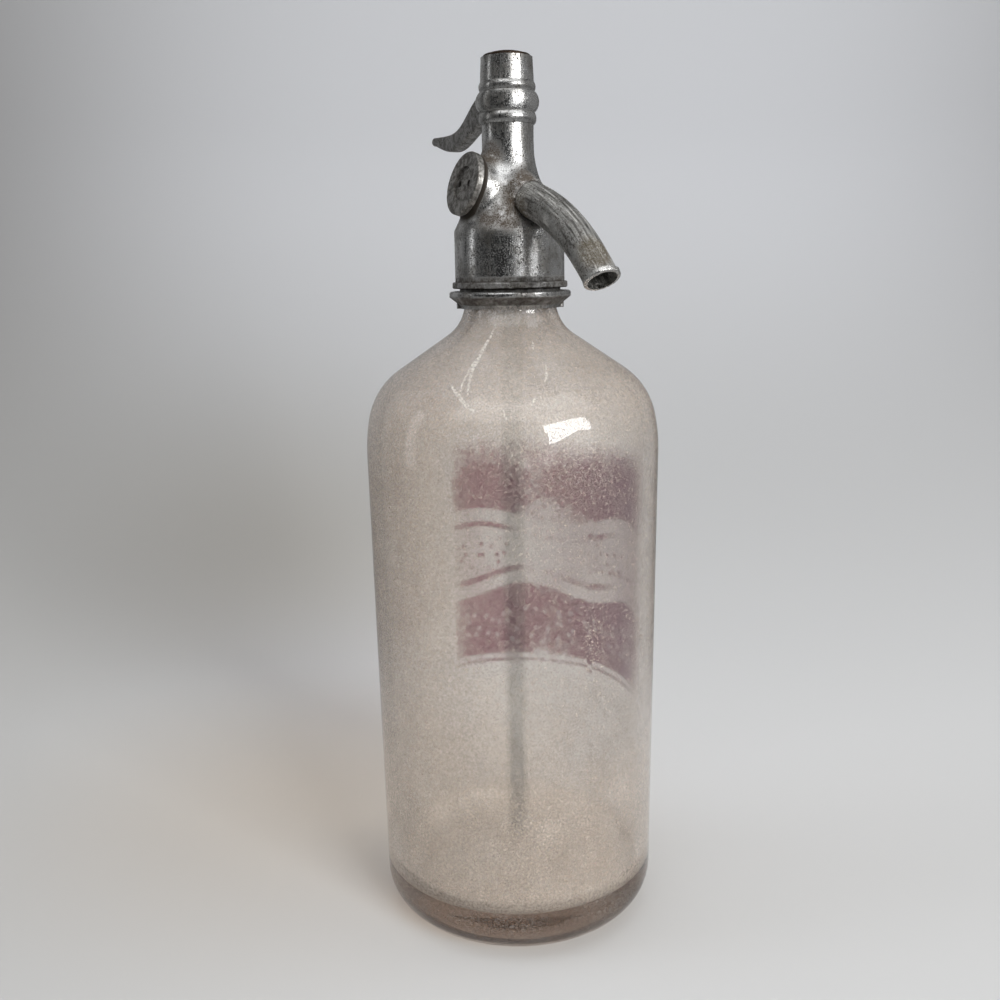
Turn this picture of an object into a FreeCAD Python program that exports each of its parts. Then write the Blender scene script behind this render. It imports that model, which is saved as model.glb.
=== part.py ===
import FreeCAD, Part
import math
import os

# Soda siphon: a thick glass bottle with a cast metal head, a rear lever that lifts a valve stem against a
# spring, a curved spout and a glass dip tube.
# Units are millimetres.  The origin is the middle of the bottle's base on the table, +Z is up, +X points to
# the spout, the lever is at -X and the side plug at -Y.

V = FreeCAD.Vector
UP = V(0, 0, 1)

# ---------------------------------------------------------------- driving sizes: glass bottle
BODY_R = 51.0            # largest radius, where the shoulder starts
HEEL_TOP_R = 49.2        # radius at the top of the heel: the body narrows a little on the way down
HEEL_R = 15.0            # rounding of the outer heel
SHOULDER_Z = 170.6       # height where the shoulder starts to round
SHOULDER_EASE_R = 60.0   # first, gentle rounding of the shoulder
SHOULDER_EASE_DEG = 12.0
SHOULDER_R = 25.0        # main rounding of the shoulder
SHOULDER_SLOPE_DEG = 56.0  # how far the shoulder has turned in from upright where it is straight
NECK_FLARE_R = 14.0      # hollow rounding between shoulder and neck
NECK_R = 15.6
NECK_BORE_R = 10.4
GLASS_WALL = 4.8         # side wall
FLOOR_Z = 15.0           # top of the thick glass floor
FLOOR_CORNER_R = 8.0     # rounding inside, between floor and wall
LIP_R = 16.8             # glass bead at the top of the neck
LIP_H = 9.0
LIP_ROUND_R = 1.6

# ---------------------------------------------------------------- driving sizes: split collar and gasket
COLLAR_DROP = 2.5        # the collar reaches this far below the straight part of the neck
COLLAR_FLANGE_R = 20.8
COLLAR_FLANGE_H = 5.7
COLLAR_FLANGE_EDGE = 1.9  # upright part of the flange's rim
COLLAR_FOOT_R = 17.0     # radius at the foot of the flange's cone
COLLAR_FOOT_H = 1.3      # upright part of the foot, which leans out a little
COLLAR_FOOT_LEAN = 0.6
COLLAR_ROUND_R = 0.85    # rounding of the flange's upper edge
COLLAR_SEAM_DEG = 60.0   # direction of the seam between the halves, from +X
COLLAR_GROOVE_H = 1.0    # open groove between collar flange and head skirt
COLLAR_BARREL_H = 6.6    # threaded barrel above the flange
COLLAR_GLASS_GAP = 0.5   # between collar bore and neck
COLLAR_SPLIT_GAP = 0.4   # between the two halves
COLLAR_LUG_R = 1.0       # small upright lug at each end of a half, at the foot of the cone
COLLAR_LUG_H = 1.8
COLLAR_LUG_OUT = 17.3    # from the neck's axis to the lug's own axis
COLLAR_LUG_OFF = 1.6     # from the seam to the lug's own axis
NECK_GASKET_T = 2.5

# ---------------------------------------------------------------- driving sizes: head casting
SKIRT_R = 18.65
SKIRT_THREAD_R = 17.3    # pitch radius of the thread that joins skirt and collar
THREAD_GAP = 0.05        # play left in every threaded joint
SKIRT_RING_R = 19.65     # bead round the skirt's foot
SKIRT_RING_H = 2.1
SKIRT_RING_ROUND_R = 0.5
SKIRT_TOP_ABOVE_CEILING = 1.9
SKIRT_EDGE_R = 1.2       # rounding where the shoulder cone starts
SHOULDER_CONE_DEG = 26.0  # the head's shoulder leans this far from upright
COLUMN_R = 8.66
COLUMN_BLEND_R = 30.0    # hollow rounding between shoulder cone and column
HEAD_FLOOR_T = 6.5       # metal between the gasket seat and the valve chamber
CHAMBER_R = 6.6
CHAMBER_H = 13.0
PACKING_WALL = 2.0       # metal between chamber and packing
COLUMN_SHOULDER_ABOVE_CHAMBER = 16.6   # seat of the cap sleeve, above the chamber's roof
CORE_R = 7.5             # column inside the cap sleeve
CORE_H = 18.8
BORE_R = 5.0             # bore that guides the plunger

# ---------------------------------------------------------------- driving sizes: side boss and plug
PLUG_TILT_DEG = 15.4     # the side plug looks this far upwards
PLUG_AXIS_ABOVE_FLOOR = 5.85   # where the plug's axis crosses the column's axis, above the chamber floor
BOSS_R = 9.3
BOSS_REACH = 15.25       # from the column's axis to the boss's face
BOSS_BLEND_R = 4.0
PLUG_WASHER_T = 0.8
PLUG_WASHER_R = 8.9
PLUG_DISC_R = 10.5
PLUG_DISC_T = 2.2
PLUG_DISC_ROUND_R = 0.6
PLUG_SHANK_R = 6.8
PLUG_SHANK_L = 5.2
PLUG_HOLLOW_R = 5.0
PLUG_RECESS_R = 5.6
PLUG_RECESS_T = 0.9
PLUG_PIN_HOLE_R = 1.1    # two holes for a pin spanner
PLUG_PIN_HOLE_OFFSET = 3.3
PLUG_PIN_HOLE_T = 1.0

# ---------------------------------------------------------------- driving sizes: spout
SPOUT_PORT_X = 5.1       # inner end of the port between chamber and spout, from the column's axis
SPOUT_START_X = 9.0      # inner end of the spout
SPOUT_AXIS_ABOVE_FLOOR = 9.6  # where the spout's line crosses the column's axis, above the chamber floor
SPOUT_DROP_DEG = 18.0    # slope of the first straight run
SPOUT_RUN_X = 20.0       # where the bend starts
SPOUT_BEND_R = 75.0
SPOUT_BEND_STEPS = 4     # sections of the tapered skin round the bend
SPOUT_END_DROP_DEG = 45.0
SPOUT_END_L = 8.4        # last straight run
SPOUT_FACE_DROP_DEG = 57.0     # the outlet's face looks this far down
SPOUT_ROOT_R = 6.0
SPOUT_TIP_R = 5.35
SPOUT_BORE_R = 4.7
SPOUT_BEAD_R = 5.85
SPOUT_BEAD_L = 1.5
SPOUT_BEAD_ROUND_R = 0.5
SOCKET_ROOT_R = 8.6      # tapered boss on the head that holds the spout
SOCKET_WALL = 0.15       # its wall at the mouth, where it dies out on the spout
SOCKET_ROOT_X = 4.0
SOCKET_REACH = 15.0
SOCKET_BLEND_R = 3.5     # hollow rounding between the socket and the head

# ---------------------------------------------------------------- driving sizes: valve train
SEAT_R = 5.0
SEAT_BASE_H = 2.0
SEAT_SHANK_R = 4.0
SEAT_SHANK_L = 2.6
SEAT_LIP_R = 3.3
SEAT_LIP_H = 0.8
SEAT_ORIFICE_R = 2.4
REST_GAP = 0.05          # between the valve washer and the seat's lip when closed
VALVE_WASHER_R = 4.2
VALVE_WASHER_T = 2.8
CUP_R = 5.0
CUP_H = 3.6
CUP_GRIP = 1.9           # how deep the rubber washer sits in the cup
STEM_R = 2.0
STEM_GAP = 0.08          # running clearance of the stem in its guides
PLUNGER_GAP = 0.10       # running clearance of the plunger in the column's bore
PLUNGER_BELOW_PIVOT = 4.4
PLUNGER_ABOVE_PIVOT = 3.2
PLUNGER_FLAT_X = -2.2    # flat on the plunger's rear, which clears the lever's hub
PACKING_R = 4.2
PACKING_H = 3.5
GLAND_H = 5.4
GLAND_SLOT_W = 1.2
GLAND_SLOT_T = 1.2
SPRING_WIRE_R = 0.4
SPRING_R = 3.7           # to the middle of the wire
SPRING_TURNS = 3.5
SPRING_STEPS = 12        # sections per turn
SPRING_SEAT_R = 4.7      # disc between plunger and spring
SPRING_SEAT_T = 0.8
SPRING_END_GAP = 0.1

# ---------------------------------------------------------------- driving sizes: lever
PIVOT_X = -5.0
PIVOT_ABOVE_SHOULDER = 7.4
PIN_R = 1.0
PIN_GAP = 0.06           # running clearance of the lever on its pin
PIN_HALF_L = 4.4
LEVER_W = 5.0
LEVER_ROUND_R = 1.2
LEVER_HUB_R = 2.6
LEVER_NOSE_R = 1.2
LEVER_NOSE_W = 2.6
LEVER_LASH = 0.15        # play between the nose and the plunger's window
LEVER_SLOT_W = 5.6
NOSE_SIDE_GAP = 0.3
PLUNGER_LIFT = 1.5       # how far full lever travel lifts the plunger
# Side view of the lever's arm, measured from its pivot: backwards, then up.
ARM_TOP = [(-5.7, 4.6), (-13.6, 3.0), (-20.6, -1.5), (-28.0, -5.5), (-37.5, -6.6), (-46.4, -6.3)]
ARM_TIP = (-48.3, -7.8)
ARM_BELLY = [(-46.4, -9.2), (-41.2, -10.9), (-31.0, -12.5), (-22.0, -10.0), (-14.0, -6.6), (-5.7, -3.7)]

# ---------------------------------------------------------------- driving sizes: cap sleeve and top plug
CAP_GAP = 0.05           # between sleeve and column
CAP_BAND_R = 9.65
CAP_BAND_H = 3.8
CAP_GROOVE_T = 0.6       # depth of the grooves on both sides of the bulge
CAP_BULGE_R = 10.6
CAP_BULGE_H = 6.6
CAP_BEAD_R = 9.45
CAP_BEAD_H = 3.0
CAP_BARREL_R = 8.9
CAP_TOP_R = 8.55
CAP_H = 21.1
CAP_RIM_R = 8.0          # inner radius of the rim round the top plug
TOP_PLUG_FLANGE_R = 7.9
TOP_PLUG_FLANGE_H = 3.2
TOP_PLUG_CROWN_H = 1.2
TOP_PLUG_ROUND_R = 0.7
TOP_PLUG_SHANK_L = 5.0
TOP_PLUG_POCKET_R = 4.3
TOP_PLUG_POCKET_T = 3.4

# ---------------------------------------------------------------- driving sizes: dip tube
TUBE_R = 4.0
TUBE_BORE_R = 2.5
TUBE_FLOOR_GAP = 8.0     # between the tube's foot and the glass floor
TUBE_GASKET_GAP = 0.05
SPIGOT_R = 7.6
SPIGOT_BORE_R = 5.9
SPIGOT_L = 5.5
TUBE_GRIP_L = 7.0        # length of the rubber sleeve
FERRULE_R = 9.3
FERRULE_H = 7.0
FERRULE_FLANGE_T = 1.5
FERRULE_HOLE_GAP = 0.3


def deg(angle):
    return math.radians(angle)


# ---------------------------------------------------------------- levels worked out from the sizes above
ease, slope = deg(SHOULDER_EASE_DEG), deg(SHOULDER_SLOPE_DEG)
# ends of the shoulder's two arcs and of the neck's flare, as (radius, height)
EASE_END = (BODY_R - SHOULDER_EASE_R * (1 - math.cos(ease)), SHOULDER_Z + SHOULDER_EASE_R * math.sin(ease))
ROUND_END = (EASE_END[0] - SHOULDER_R * (math.cos(ease) - math.cos(slope)),
             EASE_END[1] + SHOULDER_R * (math.sin(slope) - math.sin(ease)))
FLARE_START_R = NECK_R + NECK_FLARE_R * (1 - math.cos(slope))
FLARE_START = (FLARE_START_R, ROUND_END[1] + (ROUND_END[0] - FLARE_START_R) / math.tan(slope))
NECK_Z = FLARE_START[1] + NECK_FLARE_R * math.sin(slope)

COLLAR_Z = NECK_Z - COLLAR_DROP
FLANGE_TOP_Z = COLLAR_Z + COLLAR_FLANGE_H
SKIRT_Z = FLANGE_TOP_Z + COLLAR_GROOVE_H
LIP_Z = FLANGE_TOP_Z + COLLAR_BARREL_H
LIP_TOP_Z = LIP_Z + LIP_H
CEILING_Z = LIP_TOP_Z + NECK_GASKET_T
SKIRT_TOP_Z = CEILING_Z + SKIRT_TOP_ABOVE_CEILING
CHAMBER_Z = CEILING_Z + HEAD_FLOOR_T
CHAMBER_TOP_Z = CHAMBER_Z + CHAMBER_H
PACKING_Z = CHAMBER_TOP_Z + PACKING_WALL
GLAND_Z = PACKING_Z + PACKING_H
CAP_Z = CHAMBER_TOP_Z + COLUMN_SHOULDER_ABOVE_CHAMBER
PIVOT_Z = CAP_Z + PIVOT_ABOVE_SHOULDER
CORE_TOP_Z = CAP_Z + CORE_H
SLOT_TOP_Z = CAP_Z + CAP_BAND_H + CAP_BULGE_H + CAP_BEAD_H   # the rear slot ends above the cap's bead
SEAT_LIP_Z = CHAMBER_Z + SEAT_BASE_H + SEAT_LIP_H
WASHER_Z = SEAT_LIP_Z + REST_GAP
CUP_Z = WASHER_Z + VALVE_WASHER_T - CUP_GRIP
PLUNGER_Z = PIVOT_Z - PLUNGER_BELOW_PIVOT
PLUNGER_TOP_Z = PIVOT_Z + PLUNGER_ABOVE_PIVOT
SPRING_Z = PLUNGER_TOP_Z + SPRING_SEAT_T
SPRING_TOP_Z = CORE_TOP_Z - TOP_PLUG_SHANK_L + TOP_PLUG_POCKET_T
PLUG_AXIS_Z = CHAMBER_Z + PLUG_AXIS_ABOVE_FLOOR
SPOUT_AXIS_Z = CHAMBER_Z + SPOUT_AXIS_ABOVE_FLOOR
LEVER_ARM = -PIVOT_X     # from the pivot to the stem's axis


# tests for the edge between a boss and the head: how near the boss's surface, and how far from its end faces
ON_BOSS = 0.03
END_SHARE = 0.02


# ---------------------------------------------------------------- shape helpers
def cylinder(radius, z_low, z_high):
    return Part.makeCylinder(radius, z_high - z_low, V(0, 0, z_low))


def ring(outer, inner, z_low, z_high):
    return cylinder(outer, z_low, z_high).cut(cylinder(inner, z_low, z_high))


def block(x_low, x_high, y_half, z_low, z_high):
    return Part.makeBox(x_high - x_low, 2 * y_half, z_high - z_low, V(x_low, -y_half, z_low))


def line(start, end):
    """Edge between two (radius, height) points of a half section."""
    return Part.LineSegment(V(start[0], 0, start[1]), V(end[0], 0, end[1])).toShape()


def arc(start, end, centre):
    """Short circular edge from start to end about a centre, all (radius, height)."""
    middle = V((start[0] + end[0]) / 2 - centre[0], 0, (start[1] + end[1]) / 2 - centre[1])
    radius = math.hypot(start[0] - centre[0], start[1] - centre[1])
    middle = V(centre[0], 0, centre[1]) + middle.normalize() * radius
    return Part.Arc(V(start[0], 0, start[1]), middle, V(end[0], 0, end[1])).toShape()


def dome(edge_point, rise):
    """Arc from an edge point up to the axis, so that it turns into part of a ball."""
    radius = (edge_point[0] ** 2 + rise ** 2) / (2 * rise)
    return arc(edge_point, (0, edge_point[1] + rise), (0, edge_point[1] + rise - radius))


def bow(start, middle, end):
    """Circular edge through three (radius, height) points."""
    return Part.Arc(*[V(point[0], 0, point[1]) for point in (start, middle, end)]).toShape()


def turned(edges):
    """Solid of revolution about Z of a closed half section."""
    face = Part.Face(Part.Wire(edges))
    return face.revolve(V(0, 0, 0), UP, 360)


def turned_points(points):
    edges = [line(points[i], points[(i + 1) % len(points)]) for i in range(len(points))]
    return turned(edges)


def round_edges(shape, radius, wanted):
    """Round the edges for which wanted(edge) is true."""
    return shape.makeFillet(radius, [edge for edge in shape.Edges if wanted(edge)])


def circle_at(radius, z):
    """Test for a horizontal circular edge of this radius and height."""
    def wanted(edge):
        curve = edge.Curve
        return (isinstance(curve, Part.Circle) and abs(curve.Radius - radius) < 0.01
                and abs(curve.Center.z - z) < 0.01)
    return wanted


def lay_to_side(shape):
    """Turn a shape made along +Z at the origin so that it lies along the side plug's axis."""
    shape = shape.copy()
    shape.rotate(V(0, 0, 0), V(1, 0, 0), 90 - PLUG_TILT_DEG)
    shape.translate(V(0, 0, PLUG_AXIS_Z))
    return shape


# ---------------------------------------------------------------- glass bottle with a flat ground base
def shoulder_edges(inset):
    """Shoulder, flare and start of the neck, moved inwards by a wall thickness, from the top down."""
    def moved(point, turned_in):
        return (point[0] - inset * math.cos(turned_in), point[1] - inset * math.sin(turned_in))
    ease_centre = (BODY_R - SHOULDER_EASE_R, SHOULDER_Z)
    round_centre = (EASE_END[0] - SHOULDER_R * math.cos(ease), EASE_END[1] - SHOULDER_R * math.sin(ease))
    flare_centre = (NECK_R + NECK_FLARE_R, NECK_Z)
    start, neck = moved((BODY_R, SHOULDER_Z), 0), moved((NECK_R, NECK_Z), 0)
    eased, rounded, flared = moved(EASE_END, ease), moved(ROUND_END, slope), moved(FLARE_START, slope)
    return [arc(neck, flared, flare_centre), line(flared, rounded),
            arc(rounded, eased, round_centre), arc(eased, start, ease_centre)]


def make_glass_bottle():
    heel_centre = (HEEL_TOP_R - HEEL_R, HEEL_R)
    rest_outer = (heel_centre[0], 0)
    outer = shoulder_edges(0)
    outer += [line((BODY_R, SHOULDER_Z), (HEEL_TOP_R, HEEL_R)),
              arc((HEEL_TOP_R, HEEL_R), rest_outer, heel_centre), line(rest_outer, (0, 0)),
              line((0, 0), (0, NECK_Z)), line((0, NECK_Z), (NECK_R, NECK_Z))]
    body = turned(outer)
    lip = round_edges(cylinder(LIP_R, LIP_Z, LIP_TOP_Z), LIP_ROUND_R,
                      lambda edge: isinstance(edge.Curve, Part.Circle))
    body = body.fuse(cylinder(NECK_R, NECK_Z, LIP_Z + LIP_ROUND_R)).fuse(lip)
    wall_r = HEEL_TOP_R - GLASS_WALL
    corner_z = FLOOR_Z + FLOOR_CORNER_R
    bore_inset = NECK_R - NECK_BORE_R
    neck_arc_r = NECK_FLARE_R + bore_inset
    inside = shoulder_edges(GLASS_WALL)
    inner_neck_r = NECK_R - GLASS_WALL
    inside += [line((BODY_R - GLASS_WALL, SHOULDER_Z), (wall_r, corner_z)),
               arc((wall_r, corner_z), (wall_r - FLOOR_CORNER_R, FLOOR_Z), (wall_r - FLOOR_CORNER_R, corner_z)),
               line((wall_r - FLOOR_CORNER_R, FLOOR_Z), (0, FLOOR_Z)), line((0, FLOOR_Z), (0, NECK_Z)),
               line((0, NECK_Z), (inner_neck_r, NECK_Z))]
    hollow = turned(inside).fuse(cylinder(NECK_BORE_R, NECK_Z - neck_arc_r, LIP_TOP_Z))
    return body.cut(hollow).removeSplitter()


def make_neck_gasket():
    return ring(SKIRT_THREAD_R - THREAD_GAP, NECK_BORE_R, LIP_TOP_Z, CEILING_Z)


def make_collar_half(side):
    """Half of the threaded collar that grips the neck under its lip; side is +1 or -1 across the seam."""
    bore = NECK_R + COLLAR_GLASS_GAP
    barrel = SKIRT_THREAD_R - THREAD_GAP
    rim_z = FLANGE_TOP_Z - COLLAR_FLANGE_EDGE
    whole = turned_points([(bore, COLLAR_Z), (COLLAR_FOOT_R, COLLAR_Z),
                           (COLLAR_FOOT_R + COLLAR_FOOT_LEAN, COLLAR_Z + COLLAR_FOOT_H),
                           (COLLAR_FLANGE_R, rim_z), (COLLAR_FLANGE_R, FLANGE_TOP_Z),
                           (barrel, FLANGE_TOP_Z), (barrel, LIP_Z), (bore, LIP_Z)])
    whole = round_edges(whole, COLLAR_ROUND_R, circle_at(COLLAR_FLANGE_R, FLANGE_TOP_Z))
    for end in (-1, 1):
        lug = Part.makeCylinder(COLLAR_LUG_R, COLLAR_LUG_H, V(end * COLLAR_LUG_OUT, COLLAR_LUG_OFF, COLLAR_Z))
        whole = whole.fuse(lug.cut(cylinder(bore, COLLAR_Z, COLLAR_Z + COLLAR_LUG_H)))
    reach = COLLAR_FLANGE_R * 2
    keep = Part.makeBox(reach, reach, reach, V(-reach / 2, COLLAR_SPLIT_GAP / 2, COLLAR_Z - COLLAR_FOOT_H))
    half = whole.common(keep)
    half.rotate(V(0, 0, 0), UP, COLLAR_SEAM_DEG if side > 0 else COLLAR_SEAM_DEG + 180)
    return half


# ---------------------------------------------------------------- head casting
def head_outside():
    """Skirt, shoulder cone, column and core, with the side boss and the spout's socket blended on."""
    lean = deg(SHOULDER_CONE_DEG)
    blend_r = COLUMN_R + COLUMN_BLEND_R * (1 - math.cos(lean))
    blend_z = SKIRT_TOP_Z + (SKIRT_R - blend_r) / math.tan(lean)
    blend_top_z = blend_z + COLUMN_BLEND_R * math.sin(lean)
    casting = turned([line((0, SKIRT_Z), (SKIRT_R, SKIRT_Z)), line((SKIRT_R, SKIRT_Z), (SKIRT_R, SKIRT_TOP_Z)),
                      line((SKIRT_R, SKIRT_TOP_Z), (blend_r, blend_z)),
                      arc((blend_r, blend_z), (COLUMN_R, blend_top_z), (COLUMN_R + COLUMN_BLEND_R, blend_top_z)),
                      line((COLUMN_R, blend_top_z), (COLUMN_R, CAP_Z)), line((COLUMN_R, CAP_Z), (0, CAP_Z)),
                      line((0, CAP_Z), (0, SKIRT_Z))])
    casting = round_edges(casting, SKIRT_EDGE_R, circle_at(SKIRT_R, SKIRT_TOP_Z))
    boss = lay_to_side(Part.makeCylinder(BOSS_R, BOSS_REACH))
    casting = casting.fuse(boss)
    casting = round_edges(casting, BOSS_BLEND_R, lambda edge: joins_round(edge, BOSS_R, BOSS_R, BOSS_REACH, *side_axis()))
    start, mouth = spout_point(SOCKET_ROOT_X), spout_point(SOCKET_REACH)
    mouth_r, length, along = SPOUT_ROOT_R + SOCKET_WALL, (mouth - start).Length, heading(SPOUT_DROP_DEG)
    casting = casting.fuse(Part.makeCone(SOCKET_ROOT_R, mouth_r, length, start, along))
    return round_edges(casting, SOCKET_BLEND_R,
                       lambda edge: joins_round(edge, SOCKET_ROOT_R, mouth_r, length, start, along))


def side_axis():
    tilt = deg(PLUG_TILT_DEG)
    return V(0, 0, PLUG_AXIS_Z), V(0, -math.cos(tilt), math.sin(tilt))


def joins_round(edge, root_r, end_r, reach, origin, direction):
    """Whether an edge lies on a straight or tapered boss of this reach, between its two end faces."""
    for share in (0.15, 0.5, 0.85):
        offset = edge.valueAt(edge.FirstParameter + (edge.LastParameter - edge.FirstParameter) * share) - origin
        along = offset.dot(direction)
        away = (offset - direction * along).Length
        expected = root_r + (end_r - root_r) * along / reach
        if abs(away - expected) > ON_BOSS or not reach * END_SHARE < along < reach * (1 - END_SHARE):
            return False
    return True


def make_head_body():
    thread = SKIRT_THREAD_R
    skirt_ring = round_edges(ring(SKIRT_RING_R, thread, SKIRT_Z, SKIRT_Z + SKIRT_RING_H), SKIRT_RING_ROUND_R,
                             lambda edge: circle_at(SKIRT_RING_R, SKIRT_Z)(edge)
                             or circle_at(SKIRT_RING_R, SKIRT_Z + SKIRT_RING_H)(edge))
    casting = head_outside().cut(cylinder(thread, SKIRT_Z, CEILING_Z)).fuse(skirt_ring)
    casting = casting.fuse(cylinder(SPIGOT_R, CEILING_Z - SPIGOT_L, CEILING_Z))
    core = cylinder(CORE_R, CAP_Z, CORE_TOP_Z)
    casting = casting.fuse(core)
    sleeve_seat_z = CEILING_Z - SPIGOT_L + TUBE_GRIP_L
    hollows = [cylinder(SPIGOT_BORE_R, CEILING_Z - SPIGOT_L, sleeve_seat_z),
               cylinder(SEAT_SHANK_R + THREAD_GAP, sleeve_seat_z, CHAMBER_Z),
               cylinder(CHAMBER_R, CHAMBER_Z, CHAMBER_TOP_Z),
               cylinder(STEM_R + STEM_GAP, CHAMBER_TOP_Z, PACKING_Z),
               cylinder(PACKING_R, PACKING_Z, GLAND_Z),
               cylinder(BORE_R, GLAND_Z, CORE_TOP_Z),
               lay_to_side(Part.makeCylinder(PLUG_SHANK_R + THREAD_GAP, BOSS_REACH, V(0, 0, CHAMBER_R / 2))),
               spout_run(SPOUT_ROOT_R, SPOUT_START_X, SOCKET_REACH + SOCKET_ROOT_R),
               spout_run(SPOUT_BORE_R, SPOUT_PORT_X, SPOUT_START_X),
               block(-COLUMN_R, 0, LEVER_SLOT_W / 2, CAP_Z, SLOT_TOP_Z),
               Part.makeCylinder(PIN_R, 2 * PIN_HALF_L, V(PIVOT_X, -PIN_HALF_L, PIVOT_Z), V(0, 1, 0))]
    for hollow in hollows:
        casting = casting.cut(hollow)
    return casting.removeSplitter()


# ---------------------------------------------------------------- side plug
def make_side_plug():
    disc_z = BOSS_REACH + PLUG_WASHER_T
    face_z = disc_z + PLUG_DISC_T
    disc = round_edges(Part.makeCylinder(PLUG_DISC_R, PLUG_DISC_T, V(0, 0, disc_z)), PLUG_DISC_ROUND_R,
                       circle_at(PLUG_DISC_R, face_z))
    shank_z = BOSS_REACH - PLUG_SHANK_L
    plug = disc.fuse(Part.makeCylinder(PLUG_SHANK_R, disc_z - shank_z, V(0, 0, shank_z)))
    plug = plug.cut(Part.makeCylinder(PLUG_HOLLOW_R, BOSS_REACH - shank_z, V(0, 0, shank_z)))
    plug = plug.cut(Part.makeCylinder(PLUG_RECESS_R, PLUG_RECESS_T, V(0, 0, face_z - PLUG_RECESS_T)))
    hole_z = face_z - PLUG_RECESS_T - PLUG_PIN_HOLE_T
    for side in (-1, 1):
        place = V(side * PLUG_PIN_HOLE_OFFSET, 0, hole_z)
        plug = plug.cut(Part.makeCylinder(PLUG_PIN_HOLE_R, PLUG_PIN_HOLE_T, place))
    return lay_to_side(plug)


def make_side_plug_washer():
    washer = Part.makeCylinder(PLUG_WASHER_R, PLUG_WASHER_T, V(0, 0, BOSS_REACH))
    washer = washer.cut(Part.makeCylinder(PLUG_SHANK_R + THREAD_GAP, PLUG_WASHER_T, V(0, 0, BOSS_REACH)))
    return lay_to_side(washer)


# ---------------------------------------------------------------- spout
def spout_point(x):
    return V(x, 0, SPOUT_AXIS_Z - x * math.tan(deg(SPOUT_DROP_DEG)))


def heading(drop_deg):
    return V(math.cos(deg(drop_deg)), 0, -math.sin(deg(drop_deg)))


def spout_run(radius, x_low, x_high):
    """Cylinder on the spout's first straight line, between two distances from the column's axis."""
    start, end = spout_point(x_low), spout_point(x_high)
    return Part.makeCylinder(radius, (end - start).Length, start, heading(SPOUT_DROP_DEG))


def spout_stations():
    """Points and headings down the centre line: a straight run, one bend and a straight end past the mouth."""
    start, bend = spout_point(SPOUT_START_X), spout_point(SPOUT_RUN_X)
    first, last = heading(SPOUT_DROP_DEG), heading(SPOUT_END_DROP_DEG)
    centre = bend + V(first.z, 0, -first.x) * SPOUT_BEND_R
    stations = [(start, first)]
    for step in range(SPOUT_BEND_STEPS + 1):
        along = heading(SPOUT_DROP_DEG + (SPOUT_END_DROP_DEG - SPOUT_DROP_DEG) * step / SPOUT_BEND_STEPS)
        stations.append((centre - V(along.z, 0, -along.x) * SPOUT_BEND_R, along))
    tip = stations[-1][0] + last * SPOUT_END_L
    stations.append((tip + last * SPOUT_TIP_R, last))
    return stations, tip


def spout_skin():
    """Tapered outside of the tube."""
    stations, tip = spout_stations()
    lengths = [0]
    for (point, along), (following, later) in zip(stations, stations[1:]):
        lengths.append(lengths[-1] + (following - point).Length)
    circles = [Part.Wire(Part.makeCircle(SPOUT_ROOT_R + (SPOUT_TIP_R - SPOUT_ROOT_R) * length / lengths[-1], point, along))
               for (point, along), length in zip(stations, lengths)]
    return Part.makeLoft(circles, True, False)


def spout_bore():
    """Round passage of one radius: a straight run, a bend and a straight end."""
    stations, tip = spout_stations()
    start, bend, middle = stations[0][0], stations[1][0], stations[1 + SPOUT_BEND_STEPS // 2][0]
    bend_end, end = stations[-2][0], stations[-1][0]
    path = Part.Wire([Part.LineSegment(start, bend).toShape(), Part.Arc(bend, middle, bend_end).toShape(),
                      Part.LineSegment(bend_end, end).toShape()])
    circle = Part.Wire(Part.makeCircle(SPOUT_BORE_R, start, heading(SPOUT_DROP_DEG)))
    return path.makePipeShell([circle], True, False)


def make_spout():
    tip = spout_stations()[1]
    face = heading(SPOUT_FACE_DROP_DEG)
    bead = Part.makeCylinder(SPOUT_BEAD_R, SPOUT_BEAD_L, tip - face * SPOUT_BEAD_L, face)
    bead = round_edges(bead, SPOUT_BEAD_ROUND_R, lambda edge: len(edge.Vertexes) == 1
                       and (edge.Curve.Center - tip).Length < SPOUT_BEAD_ROUND_R)
    beyond = Part.makeCylinder(SPOUT_BEAD_R * 3, SPOUT_BEAD_R * 3, tip - face * SPOUT_BEAD_L / 2, face)
    return spout_skin().cut(beyond).fuse(bead).cut(spout_bore()).removeSplitter()


# ---------------------------------------------------------------- valve train
def make_valve_seat():
    flange_top = CHAMBER_Z + SEAT_BASE_H
    seat = cylinder(SEAT_R, CHAMBER_Z, flange_top).fuse(cylinder(SEAT_LIP_R, flange_top, SEAT_LIP_Z))
    seat = seat.fuse(cylinder(SEAT_SHANK_R, CHAMBER_Z - SEAT_SHANK_L, CHAMBER_Z))
    return seat.cut(cylinder(SEAT_ORIFICE_R, CHAMBER_Z - SEAT_SHANK_L, SEAT_LIP_Z))


def make_valve_washer():
    return cylinder(VALVE_WASHER_R, WASHER_Z, WASHER_Z + VALVE_WASHER_T)


def make_valve_stem():
    """Washer cup, stem and plunger; a window through the plunger takes the lever's nose."""
    cup = cylinder(CUP_R, CUP_Z, CUP_Z + CUP_H).cut(cylinder(VALVE_WASHER_R, CUP_Z, CUP_Z + CUP_GRIP))
    rod = cylinder(STEM_R, CUP_Z + CUP_H, PLUNGER_Z)
    plunger = cylinder(BORE_R - PLUNGER_GAP, PLUNGER_Z, PLUNGER_TOP_Z)
    plunger = plunger.cut(block(-BORE_R, PLUNGER_FLAT_X, BORE_R, PLUNGER_Z, PLUNGER_TOP_Z))
    window_low = PIVOT_Z - LEVER_NOSE_R - PLUNGER_LIFT - LEVER_LASH
    window = block(-BORE_R, BORE_R, LEVER_NOSE_W / 2 + NOSE_SIDE_GAP, window_low,
                   PIVOT_Z + LEVER_NOSE_R + LEVER_LASH)
    return cup.fuse(rod).fuse(plunger.cut(window)).removeSplitter()


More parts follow.
